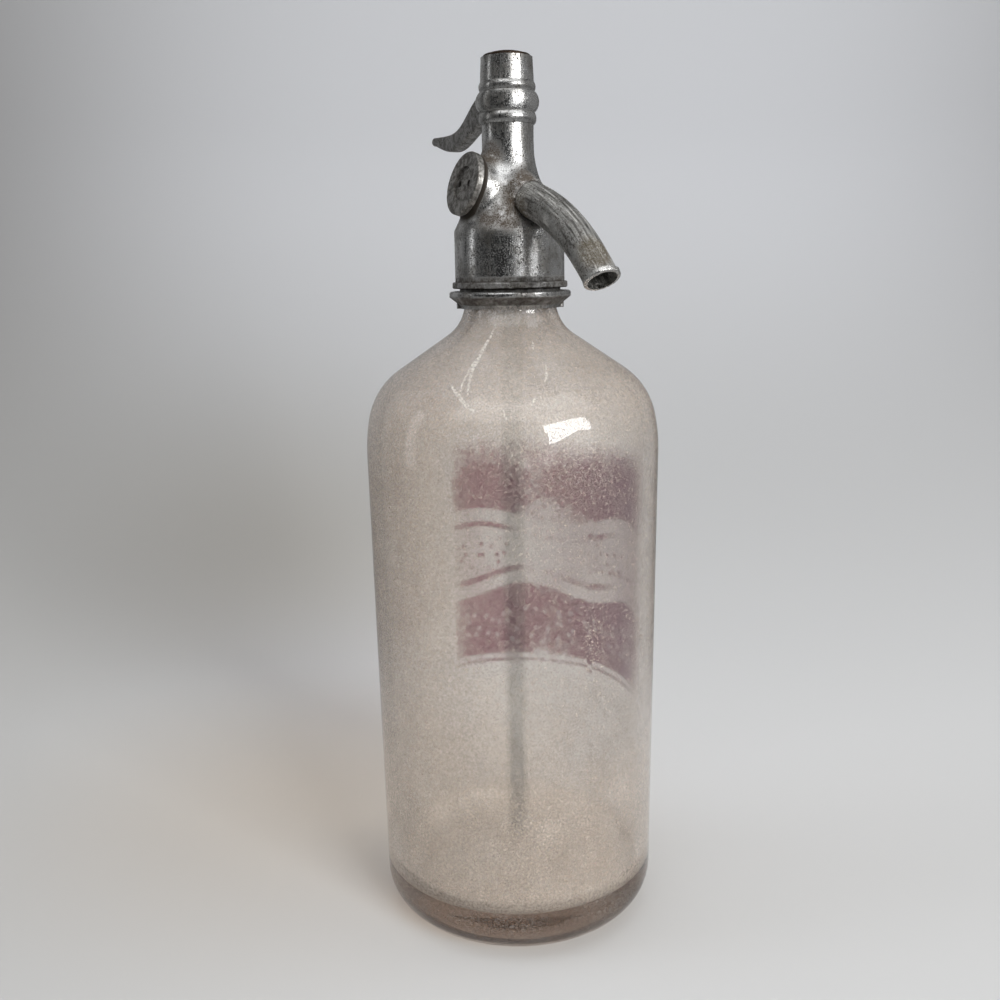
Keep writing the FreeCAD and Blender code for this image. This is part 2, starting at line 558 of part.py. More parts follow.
def make_stem_packing():
    return ring(PACKING_R, STEM_R + STEM_GAP, PACKING_Z, GLAND_Z)


def make_gland_nut():
    nut = ring(BORE_R - THREAD_GAP, STEM_R + STEM_GAP, GLAND_Z, GLAND_Z + GLAND_H)
    return nut.cut(block(-BORE_R, BORE_R, GLAND_SLOT_W / 2, GLAND_Z + GLAND_H - GLAND_SLOT_T, GLAND_Z + GLAND_H))


def make_spring_seat():
    return cylinder(SPRING_SEAT_R, PLUNGER_TOP_Z, SPRING_Z)


def make_return_spring():
    """Coil spring: one smooth skin through round sections that climb about the axis."""
    low = SPRING_Z + SPRING_END_GAP + SPRING_WIRE_R
    high = SPRING_TOP_Z - SPRING_END_GAP - SPRING_WIRE_R
    steps = int(SPRING_TURNS * SPRING_STEPS)
    climb = math.atan((high - low) / SPRING_TURNS / (2 * math.pi * SPRING_R))
    sections = []
    for step in range(steps + 1):
        section = Part.Wire(Part.makeCircle(SPRING_WIRE_R, V(SPRING_R, 0, 0), V(0, math.cos(climb), math.sin(climb))))
        section.rotate(V(0, 0, 0), UP, 360 * step / SPRING_STEPS)
        section.translate(V(0, 0, low + (high - low) * step / steps))
        sections.append(section)
    return Part.makeLoft(sections, True, False)


# ---------------------------------------------------------------- lever and its pin
def from_pivot(point):
    return V(PIVOT_X + point[0], 0, PIVOT_Z + point[1])


def curve_through(points):
    curve = Part.BSplineCurve()
    curve.interpolate([from_pivot(point) for point in points])
    return curve.toShape()


def make_lever():
    """Curved arm outside the cap, hub on the pin and a thin nose that reaches into the plunger."""
    half = LEVER_W / 2
    tip_end = [ARM_TOP[-1], ARM_TIP, ARM_BELLY[0]]
    tip = Part.Arc(*[from_pivot(point) for point in tip_end]).toShape()
    root = Part.LineSegment(from_pivot(ARM_BELLY[-1]), from_pivot(ARM_TOP[0])).toShape()
    outline = Part.Wire([curve_through(ARM_TOP), tip, curve_through(ARM_BELLY), root])
    arm = Part.Face(outline).extrude(V(0, LEVER_W, 0))
    arm.translate(V(0, -half, 0))
    root_x = PIVOT_X + ARM_TOP[0][0]
    arm = round_edges(arm, LEVER_ROUND_R,
                      lambda edge: abs(abs(edge.CenterOfMass.y) - half) < 0.01 and edge.BoundBox.XMin < root_x - 1)
    hub = Part.makeCylinder(LEVER_HUB_R, LEVER_W, V(PIVOT_X, -half, PIVOT_Z), V(0, 1, 0))
    web_top = PIVOT_Z + LEVER_HUB_R
    wedge = Part.makePolygon([V(root_x, -half, PIVOT_Z + ARM_BELLY[-1][1]), V(PIVOT_X, -half, PIVOT_Z - LEVER_HUB_R),
                              V(PIVOT_X, -half, web_top), V(root_x, -half, PIVOT_Z + ARM_TOP[0][1]),
                              V(root_x, -half, PIVOT_Z + ARM_BELLY[-1][1])])
    web = Part.Face(wedge).extrude(V(0, LEVER_W, 0))
    nose_half = LEVER_NOSE_W / 2
    nose = Part.makeCylinder(LEVER_NOSE_R, LEVER_NOSE_W, V(0, -nose_half, PIVOT_Z), V(0, 1, 0))
    blade = block(PIVOT_X, 0, nose_half, PIVOT_Z - LEVER_NOSE_R, PIVOT_Z + LEVER_NOSE_R)
    lever = arm.fuse(web).fuse(hub).fuse(blade).fuse(nose)
    pin_hole = Part.makeCylinder(PIN_R + PIN_GAP, LEVER_W, V(PIVOT_X, -half, PIVOT_Z), V(0, 1, 0))
    return lever.cut(pin_hole).removeSplitter()


def make_lever_pin():
    return Part.makeCylinder(PIN_R, 2 * PIN_HALF_L, V(PIVOT_X, -PIN_HALF_L, PIVOT_Z), V(0, 1, 0))


# ---------------------------------------------------------------- cap sleeve and top plug
def make_cap_sleeve():
    """Turned sleeve round the top of the column, slotted at the rear for the lever."""
    bulge_z = CAP_Z + CAP_BAND_H
    bead_z = bulge_z + CAP_BULGE_H
    barrel_z = bead_z + CAP_BEAD_H
    top_z = CAP_Z + CAP_H
    inner = CORE_R + CAP_GAP
    groove_r = CAP_BAND_R - CAP_GROOVE_T
    band_mid = (CAP_BAND_R, CAP_Z + CAP_BAND_H / 2)
    edges = [line((inner, CAP_Z), (groove_r, CAP_Z)), bow((groove_r, CAP_Z), band_mid, (groove_r, bulge_z)),
             bow((groove_r, bulge_z), (CAP_BULGE_R, bulge_z + CAP_BULGE_H / 2), (groove_r, bead_z)),
             bow((groove_r, bead_z), (CAP_BEAD_R, bead_z + CAP_BEAD_H / 2), (CAP_BARREL_R, barrel_z)),
             line((CAP_BARREL_R, barrel_z), (CAP_TOP_R, top_z)), line((CAP_TOP_R, top_z), (CAP_RIM_R, top_z)),
             line((CAP_RIM_R, top_z), (CAP_RIM_R, CORE_TOP_Z)), line((CAP_RIM_R, CORE_TOP_Z), (inner, CORE_TOP_Z)),
             line((inner, CORE_TOP_Z), (inner, CAP_Z))]
    sleeve = turned(edges)
    return sleeve.cut(block(-2 * CAP_BULGE_R, 0, LEVER_SLOT_W / 2, CAP_Z - CAP_BAND_H, SLOT_TOP_Z))


def make_top_plug():
    flange_top = CORE_TOP_Z + TOP_PLUG_FLANGE_H
    crown = dome((TOP_PLUG_FLANGE_R - TOP_PLUG_ROUND_R, flange_top), TOP_PLUG_CROWN_H)
    shoulder = (TOP_PLUG_FLANGE_R, flange_top - TOP_PLUG_ROUND_R)
    shank_z = CORE_TOP_Z - TOP_PLUG_SHANK_L
    shank_r = BORE_R - THREAD_GAP
    plug = turned([line((0, shank_z), (shank_r, shank_z)), line((shank_r, shank_z), (shank_r, CORE_TOP_Z)),
                   line((shank_r, CORE_TOP_Z), (TOP_PLUG_FLANGE_R, CORE_TOP_Z)),
                   line((TOP_PLUG_FLANGE_R, CORE_TOP_Z), shoulder),
                   arc(shoulder, (TOP_PLUG_FLANGE_R - TOP_PLUG_ROUND_R, flange_top),
                       (TOP_PLUG_FLANGE_R - TOP_PLUG_ROUND_R, flange_top - TOP_PLUG_ROUND_R)),
                   crown, line((0, flange_top + TOP_PLUG_CROWN_H), (0, shank_z))])
    return plug.cut(cylinder(TOP_PLUG_POCKET_R, shank_z, SPRING_TOP_Z))


# ---------------------------------------------------------------- dip tube
def make_dip_tube():
    top = CEILING_Z - SPIGOT_L + TUBE_GRIP_L
    return ring(TUBE_R, TUBE_BORE_R, FLOOR_Z + TUBE_FLOOR_GAP, top)


def make_dip_tube_gasket():
    low = CEILING_Z - SPIGOT_L
    return ring(SPIGOT_BORE_R, TUBE_R + TUBE_GASKET_GAP, low, low + TUBE_GRIP_L)


def make_dip_tube_ferrule():
    low = CEILING_Z - SPIGOT_L - FERRULE_FLANGE_T
    nut = cylinder(FERRULE_R, low, low + FERRULE_H).cut(
        cylinder(SPIGOT_R + THREAD_GAP, low + FERRULE_FLANGE_T, low + FERRULE_H))
    return nut.cut(cylinder(TUBE_R + FERRULE_HOLE_GAP, low, low + FERRULE_FLANGE_T))


# ---------------------------------------------------------------- all sub-parts
PARTS = {
    "glass_bottle": make_glass_bottle(),
    "neck_gasket": make_neck_gasket(),
    "collar_half_left": make_collar_half(1),
    "collar_half_right": make_collar_half(-1),
    "head_body": make_head_body(),
    "side_plug": make_side_plug(),
    "side_plug_washer": make_side_plug_washer(),
    "spout": make_spout(),
    "valve_seat": make_valve_seat(),
    "valve_washer": make_valve_washer(),
    "valve_stem": make_valve_stem(),
    "stem_packing": make_stem_packing(),
    "gland_nut": make_gland_nut(),
    "spring_seat": make_spring_seat(),
    "return_spring": make_return_spring(),
    "lever": make_lever(),
    "lever_pin": make_lever_pin(),
    "cap_sleeve": make_cap_sleeve(),
    "top_plug": make_top_plug(),
    "dip_tube": make_dip_tube(),
    "dip_tube_gasket": make_dip_tube_gasket(),
    "dip_tube_ferrule": make_dip_tube_ferrule(),
}

os.makedirs("parts", exist_ok=True)
for name, shape in PARTS.items():
    box = shape.BoundBox
    facets = len(shape.tessellate(0.1)[1])
    print(f"{name:18} solids {len(shape.Solids)}  valid {shape.isValid()}  volume {shape.Volume:10.2f}  "
          f"z {box.ZMin:.2f} to {box.ZMax:.2f}  facets {facets}")
    shape.exportStep(f"parts/{name}.step")
print(f"lever pivot at x {PIVOT_X}, z {PIVOT_Z:.3f}; arm {LEVER_ARM} mm; full travel "
      f"{math.degrees(PLUNGER_LIFT / LEVER_ARM):.2f} degrees")
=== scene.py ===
# %% [markdown]
# # Dressing an old soda siphon
# A soda siphon is a thick glass bottle with a plated valve head. Gas pressure
# pushes the water up a glass tube and out of the bent spout when the lever is
# pressed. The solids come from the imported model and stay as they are. This
# lesson gives each of them the surface of the real thing and adds what is too
# thin for a solid: scale on the glass, a worn print, scratches and dirt.

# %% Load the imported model
import math

import bmesh
import bpy
from mathutils import Matrix, Vector


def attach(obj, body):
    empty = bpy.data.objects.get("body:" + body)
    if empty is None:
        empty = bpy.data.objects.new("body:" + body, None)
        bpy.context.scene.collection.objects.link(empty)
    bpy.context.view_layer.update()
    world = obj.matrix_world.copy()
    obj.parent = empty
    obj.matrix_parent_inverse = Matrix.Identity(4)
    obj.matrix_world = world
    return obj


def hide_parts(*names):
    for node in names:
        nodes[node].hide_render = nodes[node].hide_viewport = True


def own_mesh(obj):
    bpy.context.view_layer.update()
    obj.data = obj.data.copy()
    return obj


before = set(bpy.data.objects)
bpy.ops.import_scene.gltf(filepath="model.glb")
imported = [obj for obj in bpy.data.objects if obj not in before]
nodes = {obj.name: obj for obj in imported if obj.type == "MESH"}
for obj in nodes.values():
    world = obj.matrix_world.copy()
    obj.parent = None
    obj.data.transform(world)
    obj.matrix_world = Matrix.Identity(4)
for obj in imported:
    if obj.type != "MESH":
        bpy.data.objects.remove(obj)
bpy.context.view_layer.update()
MM = 0.001

# %% [markdown]
# Colours are picked as sRGB hex values, but the renderer adds light in linear
# numbers, so one function converts them. A second one adds a shader node with
# its settings and links in one line. Patterns are sized in millimetres, and a
# third function turns that into the scale that a texture node wants. The rest
# are the few steps that every pattern here is made of: masks that go from 0 to
# 1, sums and products of them, and bumps.


# %% Colour, node and scale helpers
def colour(hex_value):
    parts = [int(hex_value[i : i + 2], 16) / 255 for i in (1, 3, 5)]
    linear = [p / 12.92 if p <= 0.04045 else ((p + 0.055) / 1.055) ** 2.4 for p in parts]
    return (*linear, 1.0)


def add(tree, kind, inputs=None, **settings):
    made = tree.nodes.new("ShaderNode" + kind)
    for name, value in settings.items():
        setattr(made, name, value)
    for socket, value in (inputs or {}).items():
        if isinstance(value, bpy.types.NodeSocket):
            tree.links.new(value, made.inputs[socket])
        else:
            made.inputs[socket].default_value = value
    return made


def cells(mm):
    """Texture scale at which one cell of the pattern is this many millimetres."""
    return 1 / (mm * MM)


def noise(tree, place, mm, detail, rough=0.5):
    made = {"Vector": place, "Scale": cells(mm), "Detail": detail, "Roughness": rough}
    return add(tree, "TexNoise", made).outputs["Fac"]


def dots(tree, place, mm):
    """Distance from the middles of cells of this size."""
    return add(tree, "TexVoronoi", {"Vector": place, "Scale": cells(mm)}).outputs["Distance"]


def stretched(tree, place, scale):
    return add(tree, "Mapping", {"Vector": place, "Scale": scale}).outputs[0]


def level(tree, value, low, high, to_low=0.0, to_high=1.0):
    return add(tree, "MapRange", {0: value, 1: low, 2: high, 3: to_low, 4: to_high}).outputs[0]


def smooth_level(tree, value, low, high):
    """Rises from 0 at low to 1 at high, slowly at both ends."""
    ends = {0: value, 1: low, 2: high}
    return add(tree, "MapRange", ends, interpolation_type="SMOOTHSTEP").outputs[0]


def product(tree, a, b):
    return add(tree, "Math", {0: a, 1: b}, operation="MULTIPLY").outputs[0]


def plus(tree, a, b):
    return add(tree, "Math", {0: a, 1: b}, operation="ADD", use_clamp=True).outputs[0]


def minus(tree, a, b):
    return add(tree, "Math", {0: a, 1: b}, operation="SUBTRACT").outputs[0]


def weakened(tree, value, mask, share):
    """The value, brought down to this share of itself where the mask is 1."""
    return product(tree, value, level(tree, mask, 0.0, 1.0, 1.0, share))


def slab(tree, up, low, high, rise, fall):
    """1 between two heights. It fades in over rise and out over fall, all in millimetres."""
    rising = level(tree, up, low * MM, (low + rise) * MM)
    return product(tree, rising, level(tree, up, high * MM, (high - fall) * MM))


def mixed(tree, share, a, b, **settings):
    """Colour that goes from a to b."""
    return add(tree, "Mix", {0: share, 6: a, 7: b}, data_type="RGBA", **settings).outputs[2]


def bumped(tree, height, strength, depth_mm, normal=None, **settings):
    """Normal that is bent by a height pattern."""
    made = {"Strength": strength, "Distance": depth_mm * MM, "Height": height}
    if normal is not None:
        made["Normal"] = normal
    return add(tree, "Bump", made, **settings).outputs[0]


def along(tree, place, direction):
    """Distance of a point from the part's origin, measured along a direction."""
    return add(tree, "VectorMath", {0: place, 1: direction}, operation="DOT_PRODUCT").outputs["Value"]


def off_axis(tree, place):
    """Horizontal way from the part's axis to a point."""
    return add(tree, "VectorMath", {0: place, 1: (1, 1, 0)}, operation="MULTIPLY").outputs[0]


def near(tree, place, centre_mm, reach_mm):
    """1 at a point of the part and 0 beyond the reach, both in millimetres."""
    centre = tuple(v * MM for v in centre_mm)
    away = add(tree, "VectorMath", {0: place, 1: centre}, operation="DISTANCE").outputs["Value"]
    reach = {0: away, 1: 0.0, 2: reach_mm * MM, 3: 1.0, 4: 0.0}
    return add(tree, "MapRange", reach, interpolation_type="SMOOTHSTEP").outputs[0]


print("mid grey is", [round(v, 3) for v in colour("#808080")])

# %% [markdown]
# The camera stands at the height of the bottle's neck, close to it, on the
# side where the spout points to the right. It looks down by about twelve
# degrees and is rolled by one degree, as a camera held by hand is.

# %% Camera
look = Vector((-0.87388, 0.48613, 0))
pitch, roll = math.radians(11.896), math.radians(-1.0186)
aim = look * math.cos(pitch) - Vector((0, 0, math.sin(pitch)))
lens = bpy.data.cameras.new("camera")
lens.lens, lens.sensor_width = 39.746, 36
lens.clip_start = 0.01
camera = bpy.data.objects.new("camera", lens)
turn = aim.to_track_quat("-Z", "Y").to_matrix().to_4x4() @ Matrix.Rotation(roll, 4, "Z")
camera.matrix_world = Matrix.Translation((0.33436, -0.19140, 0.233047)) @ turn
bpy.context.scene.collection.objects.link(camera)
bpy.context.scene.camera = camera
bpy.context.scene.view_settings.view_transform = "Standard"
print("camera aims along", [round(v, 3) for v in aim])


# %% [markdown]
# Every new piece is a bmesh that becomes an object at the origin, so that its
# place is in its mesh. One function does that last step for all of them, and
# another starts every material from an empty node tree.


# %% From bmesh to object
def finish_piece(name, bm, material):
    mesh = bpy.data.meshes.new(name)
    bm.to_mesh(mesh)
    bm.free()
    for face in mesh.polygons:
        face.use_smooth = True
    mesh.materials.append(material)
    piece = bpy.data.objects.new(name, mesh)
    bpy.context.scene.collection.objects.link(piece)
    print(name, "has", len(mesh.polygons), "faces")
    return piece


def new_material(name):
    material = bpy.data.materials.new(name)
    material.use_nodes = True
    material.node_tree.nodes.clear()
    return material, material.node_tree


# %% [markdown]
# The studio is a wide pale bowl: a flat floor that curves up into a wall all
# round, so that there is no corner in any view. A profile is drawn as a few
# edges, with the curve made by spinning one vertex, and the whole of it is
# spun about the upright axis.

# %% Studio bowl
FLOOR_R, COVE_R, WALL_TOP = 0.33, 0.36, 1.1
PAPER_Z = -0.3 * MM  # just below the bottle's base, so that the two never share a plane
bm = bmesh.new()
start = bm.verts.new((FLOOR_R, 0, PAPER_Z))
bmesh.ops.spin(
    bm, geom=[start], cent=(FLOOR_R, 0, COVE_R), axis=(0, -1, 0), angle=math.pi / 2, steps=24
)
bm.verts.ensure_lookup_table()
top = max(bm.verts, key=lambda v: v.co.x)
bm.edges.new((top, bm.verts.new((top.co.x, 0, WALL_TOP))))
bm.edges.new((bm.verts.new((0, 0, PAPER_Z)), start))
bmesh.ops.spin(
    bm,
    geom=bm.verts[:] + bm.edges[:],
    cent=(0, 0, 0),
    axis=(0, 0, 1),
    angle=2 * math.pi,
    steps=128,
    use_merge=True,
)
bmesh.ops.remove_doubles(bm, verts=bm.verts, dist=1e-5)
bmesh.ops.recalc_face_normals(bm, faces=bm.faces)
bmesh.ops.reverse_faces(bm, faces=bm.faces)

# %% [markdown]
# The bowl is matt paper. It shows to the camera and through the glass, and it
# catches shadows. Its colour holds painted light and shade too: the wall is
# paler on one side, the floor is darker to the left, the floor's colour reaches
# up into the cove, and two soft shadows of the bottle are painted on it. Beyond
# the flat floor it lets light and mirror rays through, because metal looks like
# metal only when it has something uneven to reflect: there it sees the room
# outside, with its window and its dark side.

# %% Paper of the bowl
# painted light: the wall's colour is palest towards this azimuth and darker away from it
PAINTED_LIGHT_SIDE = math.radians(146.0)  # azimuth at which the wall is palest
PAINTED_SOFT_SHADOWS = [
    # painted shadows of the bottle: centre and reach in mm, and the tint that light through thick brown
    # glass leaves there
    ((-455, 75, 30), 250, "#e9e6e1"),
    ((-110, -50, 0), 190, "#eee7df"),
]
paper, tree = new_material("matt_paper_backdrop")
place = add(tree, "TexCoord").outputs["Object"]
flat = off_axis(tree, place)
radius = add(tree, "VectorMath", {0: flat}, operation="LENGTH").outputs["Value"]
beyond = level(tree, radius, FLOOR_R * 0.45, FLOOR_R)
rays = add(tree, "LightPath").outputs
seen = {0: rays["Is Camera Ray"], 1: rays["Is Transmission Ray"]}
seen = add(tree, "Math", seen, operation="MAXIMUM").outputs[0]
skip = product(tree, beyond, minus(tree, 1.0, seen))
side = add(tree, "VectorMath", {0: flat}, operation="NORMALIZE").outputs[0]
# painted light and shade on the wall: paler on one side, darker on the other
facing = along(tree, side, (math.cos(PAINTED_LIGHT_SIDE), math.sin(PAINTED_LIGHT_SIDE), 0))
facing = smooth_level(tree, facing, 0.63, 1.0)
wall = mixed(tree, facing, colour("#b1b1b2"), colour("#f4f6fa"))
# painted shade: the floor's colour reaches up into the cove, where more light would fall
rise = smooth_level(tree, add(tree, "SeparateXYZ", {0: place}).outputs["Z"], 0.02, 0.34)
# painted shade: the floor is darker to the left and paler to the right
painted_light_to_right = smooth_level(tree, along(tree, place, (0.486, 0.874, 0)), -0.42, 0.04)
floor = mixed(tree, painted_light_to_right, colour("#b7b7b6"), colour("#d3d4d5"))
paper_with_painted_light = mixed(tree, rise, floor, wall)
# the painted shadows of the bottle are multiplied into the paper's colour
for centre, reach, tint in PAINTED_SOFT_SHADOWS:
    painted_shadow = mixed(tree, near(tree, place, centre, reach), (1, 1, 1, 1), colour(tint))
    paper_with_painted_light = mixed(tree, 1.0, paper_with_painted_light, painted_shadow, blend_type="MULTIPLY")
matt = add(tree, "BsdfDiffuse", {"Color": paper_with_painted_light, "Roughness": 0.5})
clear = add(tree, "BsdfTransparent")
paper_or_not = add(tree, "MixShader", {0: skip, 1: matt.outputs[0], 2: clear.outputs[0]})
add(tree, "OutputMaterial", {"Surface": paper_or_not.outputs[0]})
bowl = finish_piece("studio_bowl", bm, paper)

# %% [markdown]
# Outside the bowl is a plain room, drawn in the world shader by direction: a
# soft bright ceiling, a dark side where the camera stands, a paler wall behind
# the siphon, and the glow below the window. Azimuth and height come from the
# direction with two math nodes, and each patch of light is a smooth step. The
# narrow patches show as streaks on the turned metal, so their azimuths set
# where on the column and the skirt each streak lies.

# %% Room light
world = bpy.data.worlds.new("room")
world.use_nodes = True
tree = world.node_tree
tree.nodes.clear()
way = add(tree, "TexCoord").outputs["Generated"]
part = add(tree, "SeparateXYZ", {0: way}).outputs
height = add(tree, "Math", {0: part["Z"]}, operation="ARCSINE").outputs[0]
CAMERA_SIDE = math.radians(-29.8)  # the room is turned so that this azimuth becomes 0
turned = {"Vector": way, "Axis": (0, 0, 1), "Angle": -CAMERA_SIDE}
turned = add(tree, "VectorRotate", turned).outputs[0]
part = add(tree, "SeparateXYZ", {0: turned}).outputs
around = add(tree, "Math", {0: part["Y"], 1: part["X"]}, operation="ARCTAN2").outputs[0]


def step(value, low, high):
    """Rises from 0 at low to 1 at high, in degrees."""
    return smooth_level(tree, value, math.radians(low), math.radians(high))


def both(*values):
    result = values[0]
    for value in values[1:]:
        result = product(tree, result, value)
    return result


def patch(left, right, low, high, soft=6):
    """A soft-edged patch of the sky between two azimuths and two heights."""
    return both(
        step(around, left - soft, left + soft),
        step(around, right + soft, right - soft),
        step(height, low - soft, low + soft),
        step(height, high + soft, high - soft),
    )


# a mirror image of the ceiling is dimmer than the light that it gives: it has lamps in it
mirror = add(tree, "LightPath").outputs["Is Glossy Ray"]
ceiling = level(tree, mirror, 0.0, 1.0, 1.0, 0.42)
away = add(tree, "Math", {0: around}, operation="ABSOLUTE").outputs[0]
DARKEST = 0.022  # grey of the room where no patch adds to it
ROOM = [
    # mask, grey that it adds
    (both(step(height, 42, 66), ceiling), 1.25),  # ceiling
    (both(patch(-55, 85, 32, 64, 8), mirror), 1.70),  # its bright part, above the camera
    (both(step(away, 150, 174), step(height, -30, -10), step(height, 45, 30)), 0.28),  # far wall
    (step(height, -10, -30), 0.34),  # floor
    (patch(21, 61, -5, 12, 2), 1.0),  # below the window, seen in the column and the cap
    (patch(9, 31, -6, 2, 1.5), 1.0),  # its foot, seen in the skirt
    (patch(74, 150, -10, 35, 12), 0.26),  # wall on the right
    (patch(-160, -112, -10, 35, 12), 0.32),  # wall on the left
    (patch(-90, -79, -8, 30, 3), 1.25),  # narrow gap of light on the left
    (patch(-70, -48, -4, 26, 8), 0.04),  # faint glow beside it
]
total = DARKEST
for mask, grey in ROOM:
    total = add(tree, "Math", {0: mask, 1: grey, 2: total}, operation="MULTIPLY_ADD").outputs[0]
sky = add(tree, "Background", {"Color": (0.985, 0.99, 1.0, 1), "Strength": total})
add(tree, "OutputWorld", {"Surface": sky.outputs[0]})
bpy.context.scene.world = world
print("room drawn with", len(ROOM), "patches")

# %% [markdown]
# The window is an area light to the right of the camera. Its width and height
# as seen from the bottle set the size of the bright patch on the shoulder. It
# is split in two lamps, one that only shows in reflections and one that only
# lights matt things, so that the gloss and the shadow can be set one by one. A
# weak wide light on the left keeps that side from going black. Camera rays
# don't see the lamps.


# %% Window and fill
LAMPS_AIM_AT = Vector((0, 0, 0.18))


def lamp(name, azimuth, elevation, distance, width, height_m, watts, tint, lean=0.0):
    data = bpy.data.lights.new(name, "AREA")
    data.shape, data.size, data.size_y = "RECTANGLE", width, height_m
    data.energy, data.color = watts, colour(tint)[:3]
    light = bpy.data.objects.new(name, data)
    a, e = math.radians(azimuth), math.radians(elevation)
    out = Vector((math.cos(a) * math.cos(e), math.sin(a) * math.cos(e), math.sin(e)))
    turn = out.to_track_quat("Z", "Y").to_matrix().to_4x4()
    turn = turn @ Matrix.Rotation(math.radians(lean), 4, "Z")
    light.matrix_world = Matrix.Translation(out * distance + LAMPS_AIM_AT) @ turn
    light.visible_camera = False
    bpy.context.scene.collection.objects.link(light)
    return light


window = lamp("window", 13, 18.5, 1.2, 0.72, 0.39, 11.0, "#ffffff", lean=7.0)
window.visible_diffuse = False
key = lamp("window_light_on_matt_things", 3, 24, 1.2, 0.50, 0.45, 10.5, "#fffdf9")
fill = lamp("left_fill", -118, 26, 1.5, 1.0, 1.0, 6.0, "#f8faff")
key.visible_glossy = fill.visible_glossy = False

# %% [markdown]
# ## The bottle
# The bottle is thick soda-lime glass, blown into a mould. Clean glass is a
# smooth dielectric with an index of 1.52. Its faint colour lies in its depth,
# so it is absorption inside the volume: thin walls look clear and the solid
# heel looks brown. Shadow rays pass straight through, because this renderer
# doesn't focus light through glass well enough to light what is inside.


# %% Glass materials
def before_print(tree, place):
    """1 on the part of the wall that the camera looks through at the print."""
    front = level(tree, along(tree, place, (0.996, -0.087, 0)), 0.018, 0.034)
    up = add(tree, "SeparateXYZ", {0: place}).outputs["Z"]
    return product(tree, front, slab(tree, up, 58, 188, 16, 16))


def blown_glass(
    name, tint, density, rough, inner_rough, wave_mm, wave_depth, milky, scuffs, lost, through
):
    """Soda-lime glass: clear gloss outside, etched inside, slow mould waves, fine scuffs.

    tint and density are those of the volume, and wave_depth is in millimetres.
    milky is the even share of chalk on the surface, and scuffs that of its grains.
    lost is the share of the surface that lets every ray straight through, as the
    whole of it lets shadow rays, and through is the tint that these take.
    """
    material, tree = new_material(name)
    place = add(tree, "TexCoord").outputs["Object"]
    waves = noise(tree, stretched(tree, place, (1, 1, 0.45)), wave_mm, 1.5)
    seeds = level(tree, dots(tree, place, 2.6), 0.07, 0.03)
    rubs = noise(tree, place, 5, 6.0)
    # the wall's inner face is the one whose outward normal points to the axis
    shape = add(tree, "NewGeometry").outputs
    outward = along(tree, off_axis(tree, place), shape["True Normal"])
    outward = product(tree, outward, level(tree, shape["Backfacing"], 0.0, 1.0, 1.0, -1.0))
    inner = add(tree, "Math", {0: outward, 1: 0.0}, operation="LESS_THAN").outputs[0]
    rubbed = level(tree, rubs, 0.5, 0.75, rough, rough + 0.10)
    rubbed = plus(tree, rubbed, product(tree, inner, inner_rough))
    wavy = bumped(tree, waves, 1.0, wave_depth)
    wavy = bumped(tree, seeds, 0.2, 0.03, wavy)
    frost = noise(tree, place, 0.75, 4.0, 0.7)
    frosted = bumped(tree, frost, 1.0, 0.14)
    glass = add(
        tree,
        "BsdfPrincipled",
        {
            "Base Color": (1, 1, 1, 1),
            "Transmission Weight": 1.0,
            "IOR": 1.52,
            "Roughness": rubbed,
            "Normal": wavy,
            "Coat Weight": 0.16,
            "Coat Roughness": 0.30,
            "Coat Normal": frosted,
        },
    )
    passing = add(tree, "BsdfTransparent", {"Color": colour(through)})
    worn = noise(tree, place, 14, 4.0)
    grains = level(tree, frost, 0.48, 0.62, 0.0, scuffs)
    grains = product(tree, grains, level(tree, worn, 0.36, 0.62, 0.3, 1.0))
    sparse = product(tree, level(tree, frost, 0.58, 0.64), scuffs * 0.7)
    clearer = before_print(tree, place)
    grains = add(tree, "Mix", {0: clearer, 2: grains, 3: sparse}, data_type="FLOAT").outputs[0]
    # a scuffed patch under the spout, rubbed in its crate, whose whiter grains also paint a glow round
    # the window's highlight
    scuffs_and_painted_glow = level(tree, frost, 0.48, 0.60, 0.0, scuffs * 1.4)
    scuffs_and_painted_glow = product(tree, near(tree, place, (44, -8, 186), 34), scuffs_and_painted_glow)
    grains = plus(tree, plus(tree, grains, scuffs_and_painted_glow), milky)
    chalky = add(tree, "BsdfDiffuse", {"Color": colour("#dcd7d1")})
    hazed = add(tree, "MixShader", {0: grains, 1: glass.outputs[0], 2: chalky.outputs[0]})
    straight = level(tree, add(tree, "LightPath").outputs["Is Shadow Ray"], 0.0, 1.0, lost, 1.0)
    surface = add(tree, "MixShader", {0: straight, 1: hazed.outputs[0], 2: passing.outputs[0]})
    depth = add(tree, "VolumeAbsorption", {"Color": colour(tint), "Density": density})
    add(tree, "OutputMaterial", {"Surface": surface.outputs[0], "Volume": depth.outputs[0]})
    return material


bottle_glass = blown_glass(
    "soda_lime_glass_blown_in_a_mould", "#c1a586", 29.0, rough=0.02, inner_rough=0.06,
    wave_mm=30, wave_depth=0.12, milky=0.01, scuffs=0.30, lost=0.0, through="#f3f2f0",
)
tube_glass = blown_glass(
    "soda_lime_glass_drawn_tube_scaled", "#b9b6b0", 10.0, rough=0.12, inner_rough=0.05,
    wave_mm=12, wave_depth=0.05, milky=0.0, scuffs=0.0, lost=0.95, through="#fcfcfb",
)

# %% [markdown]
# Hard water leaves scale: a milky film on the inner wall, with specks, runs
# and tide marks. It is one thin skin, so it is made from the bottle's own
# inner faces. A copy of the mesh is merged, the faces that don't look into the
# hollow are deleted, and the rest is moved about a tenth of a millimetre into
# the glass. Scale grips the glass without an air gap, and only a film on that
# side of the surface shows it: behind a gap, the curved wall would mirror it
# away near the bottle's edges.

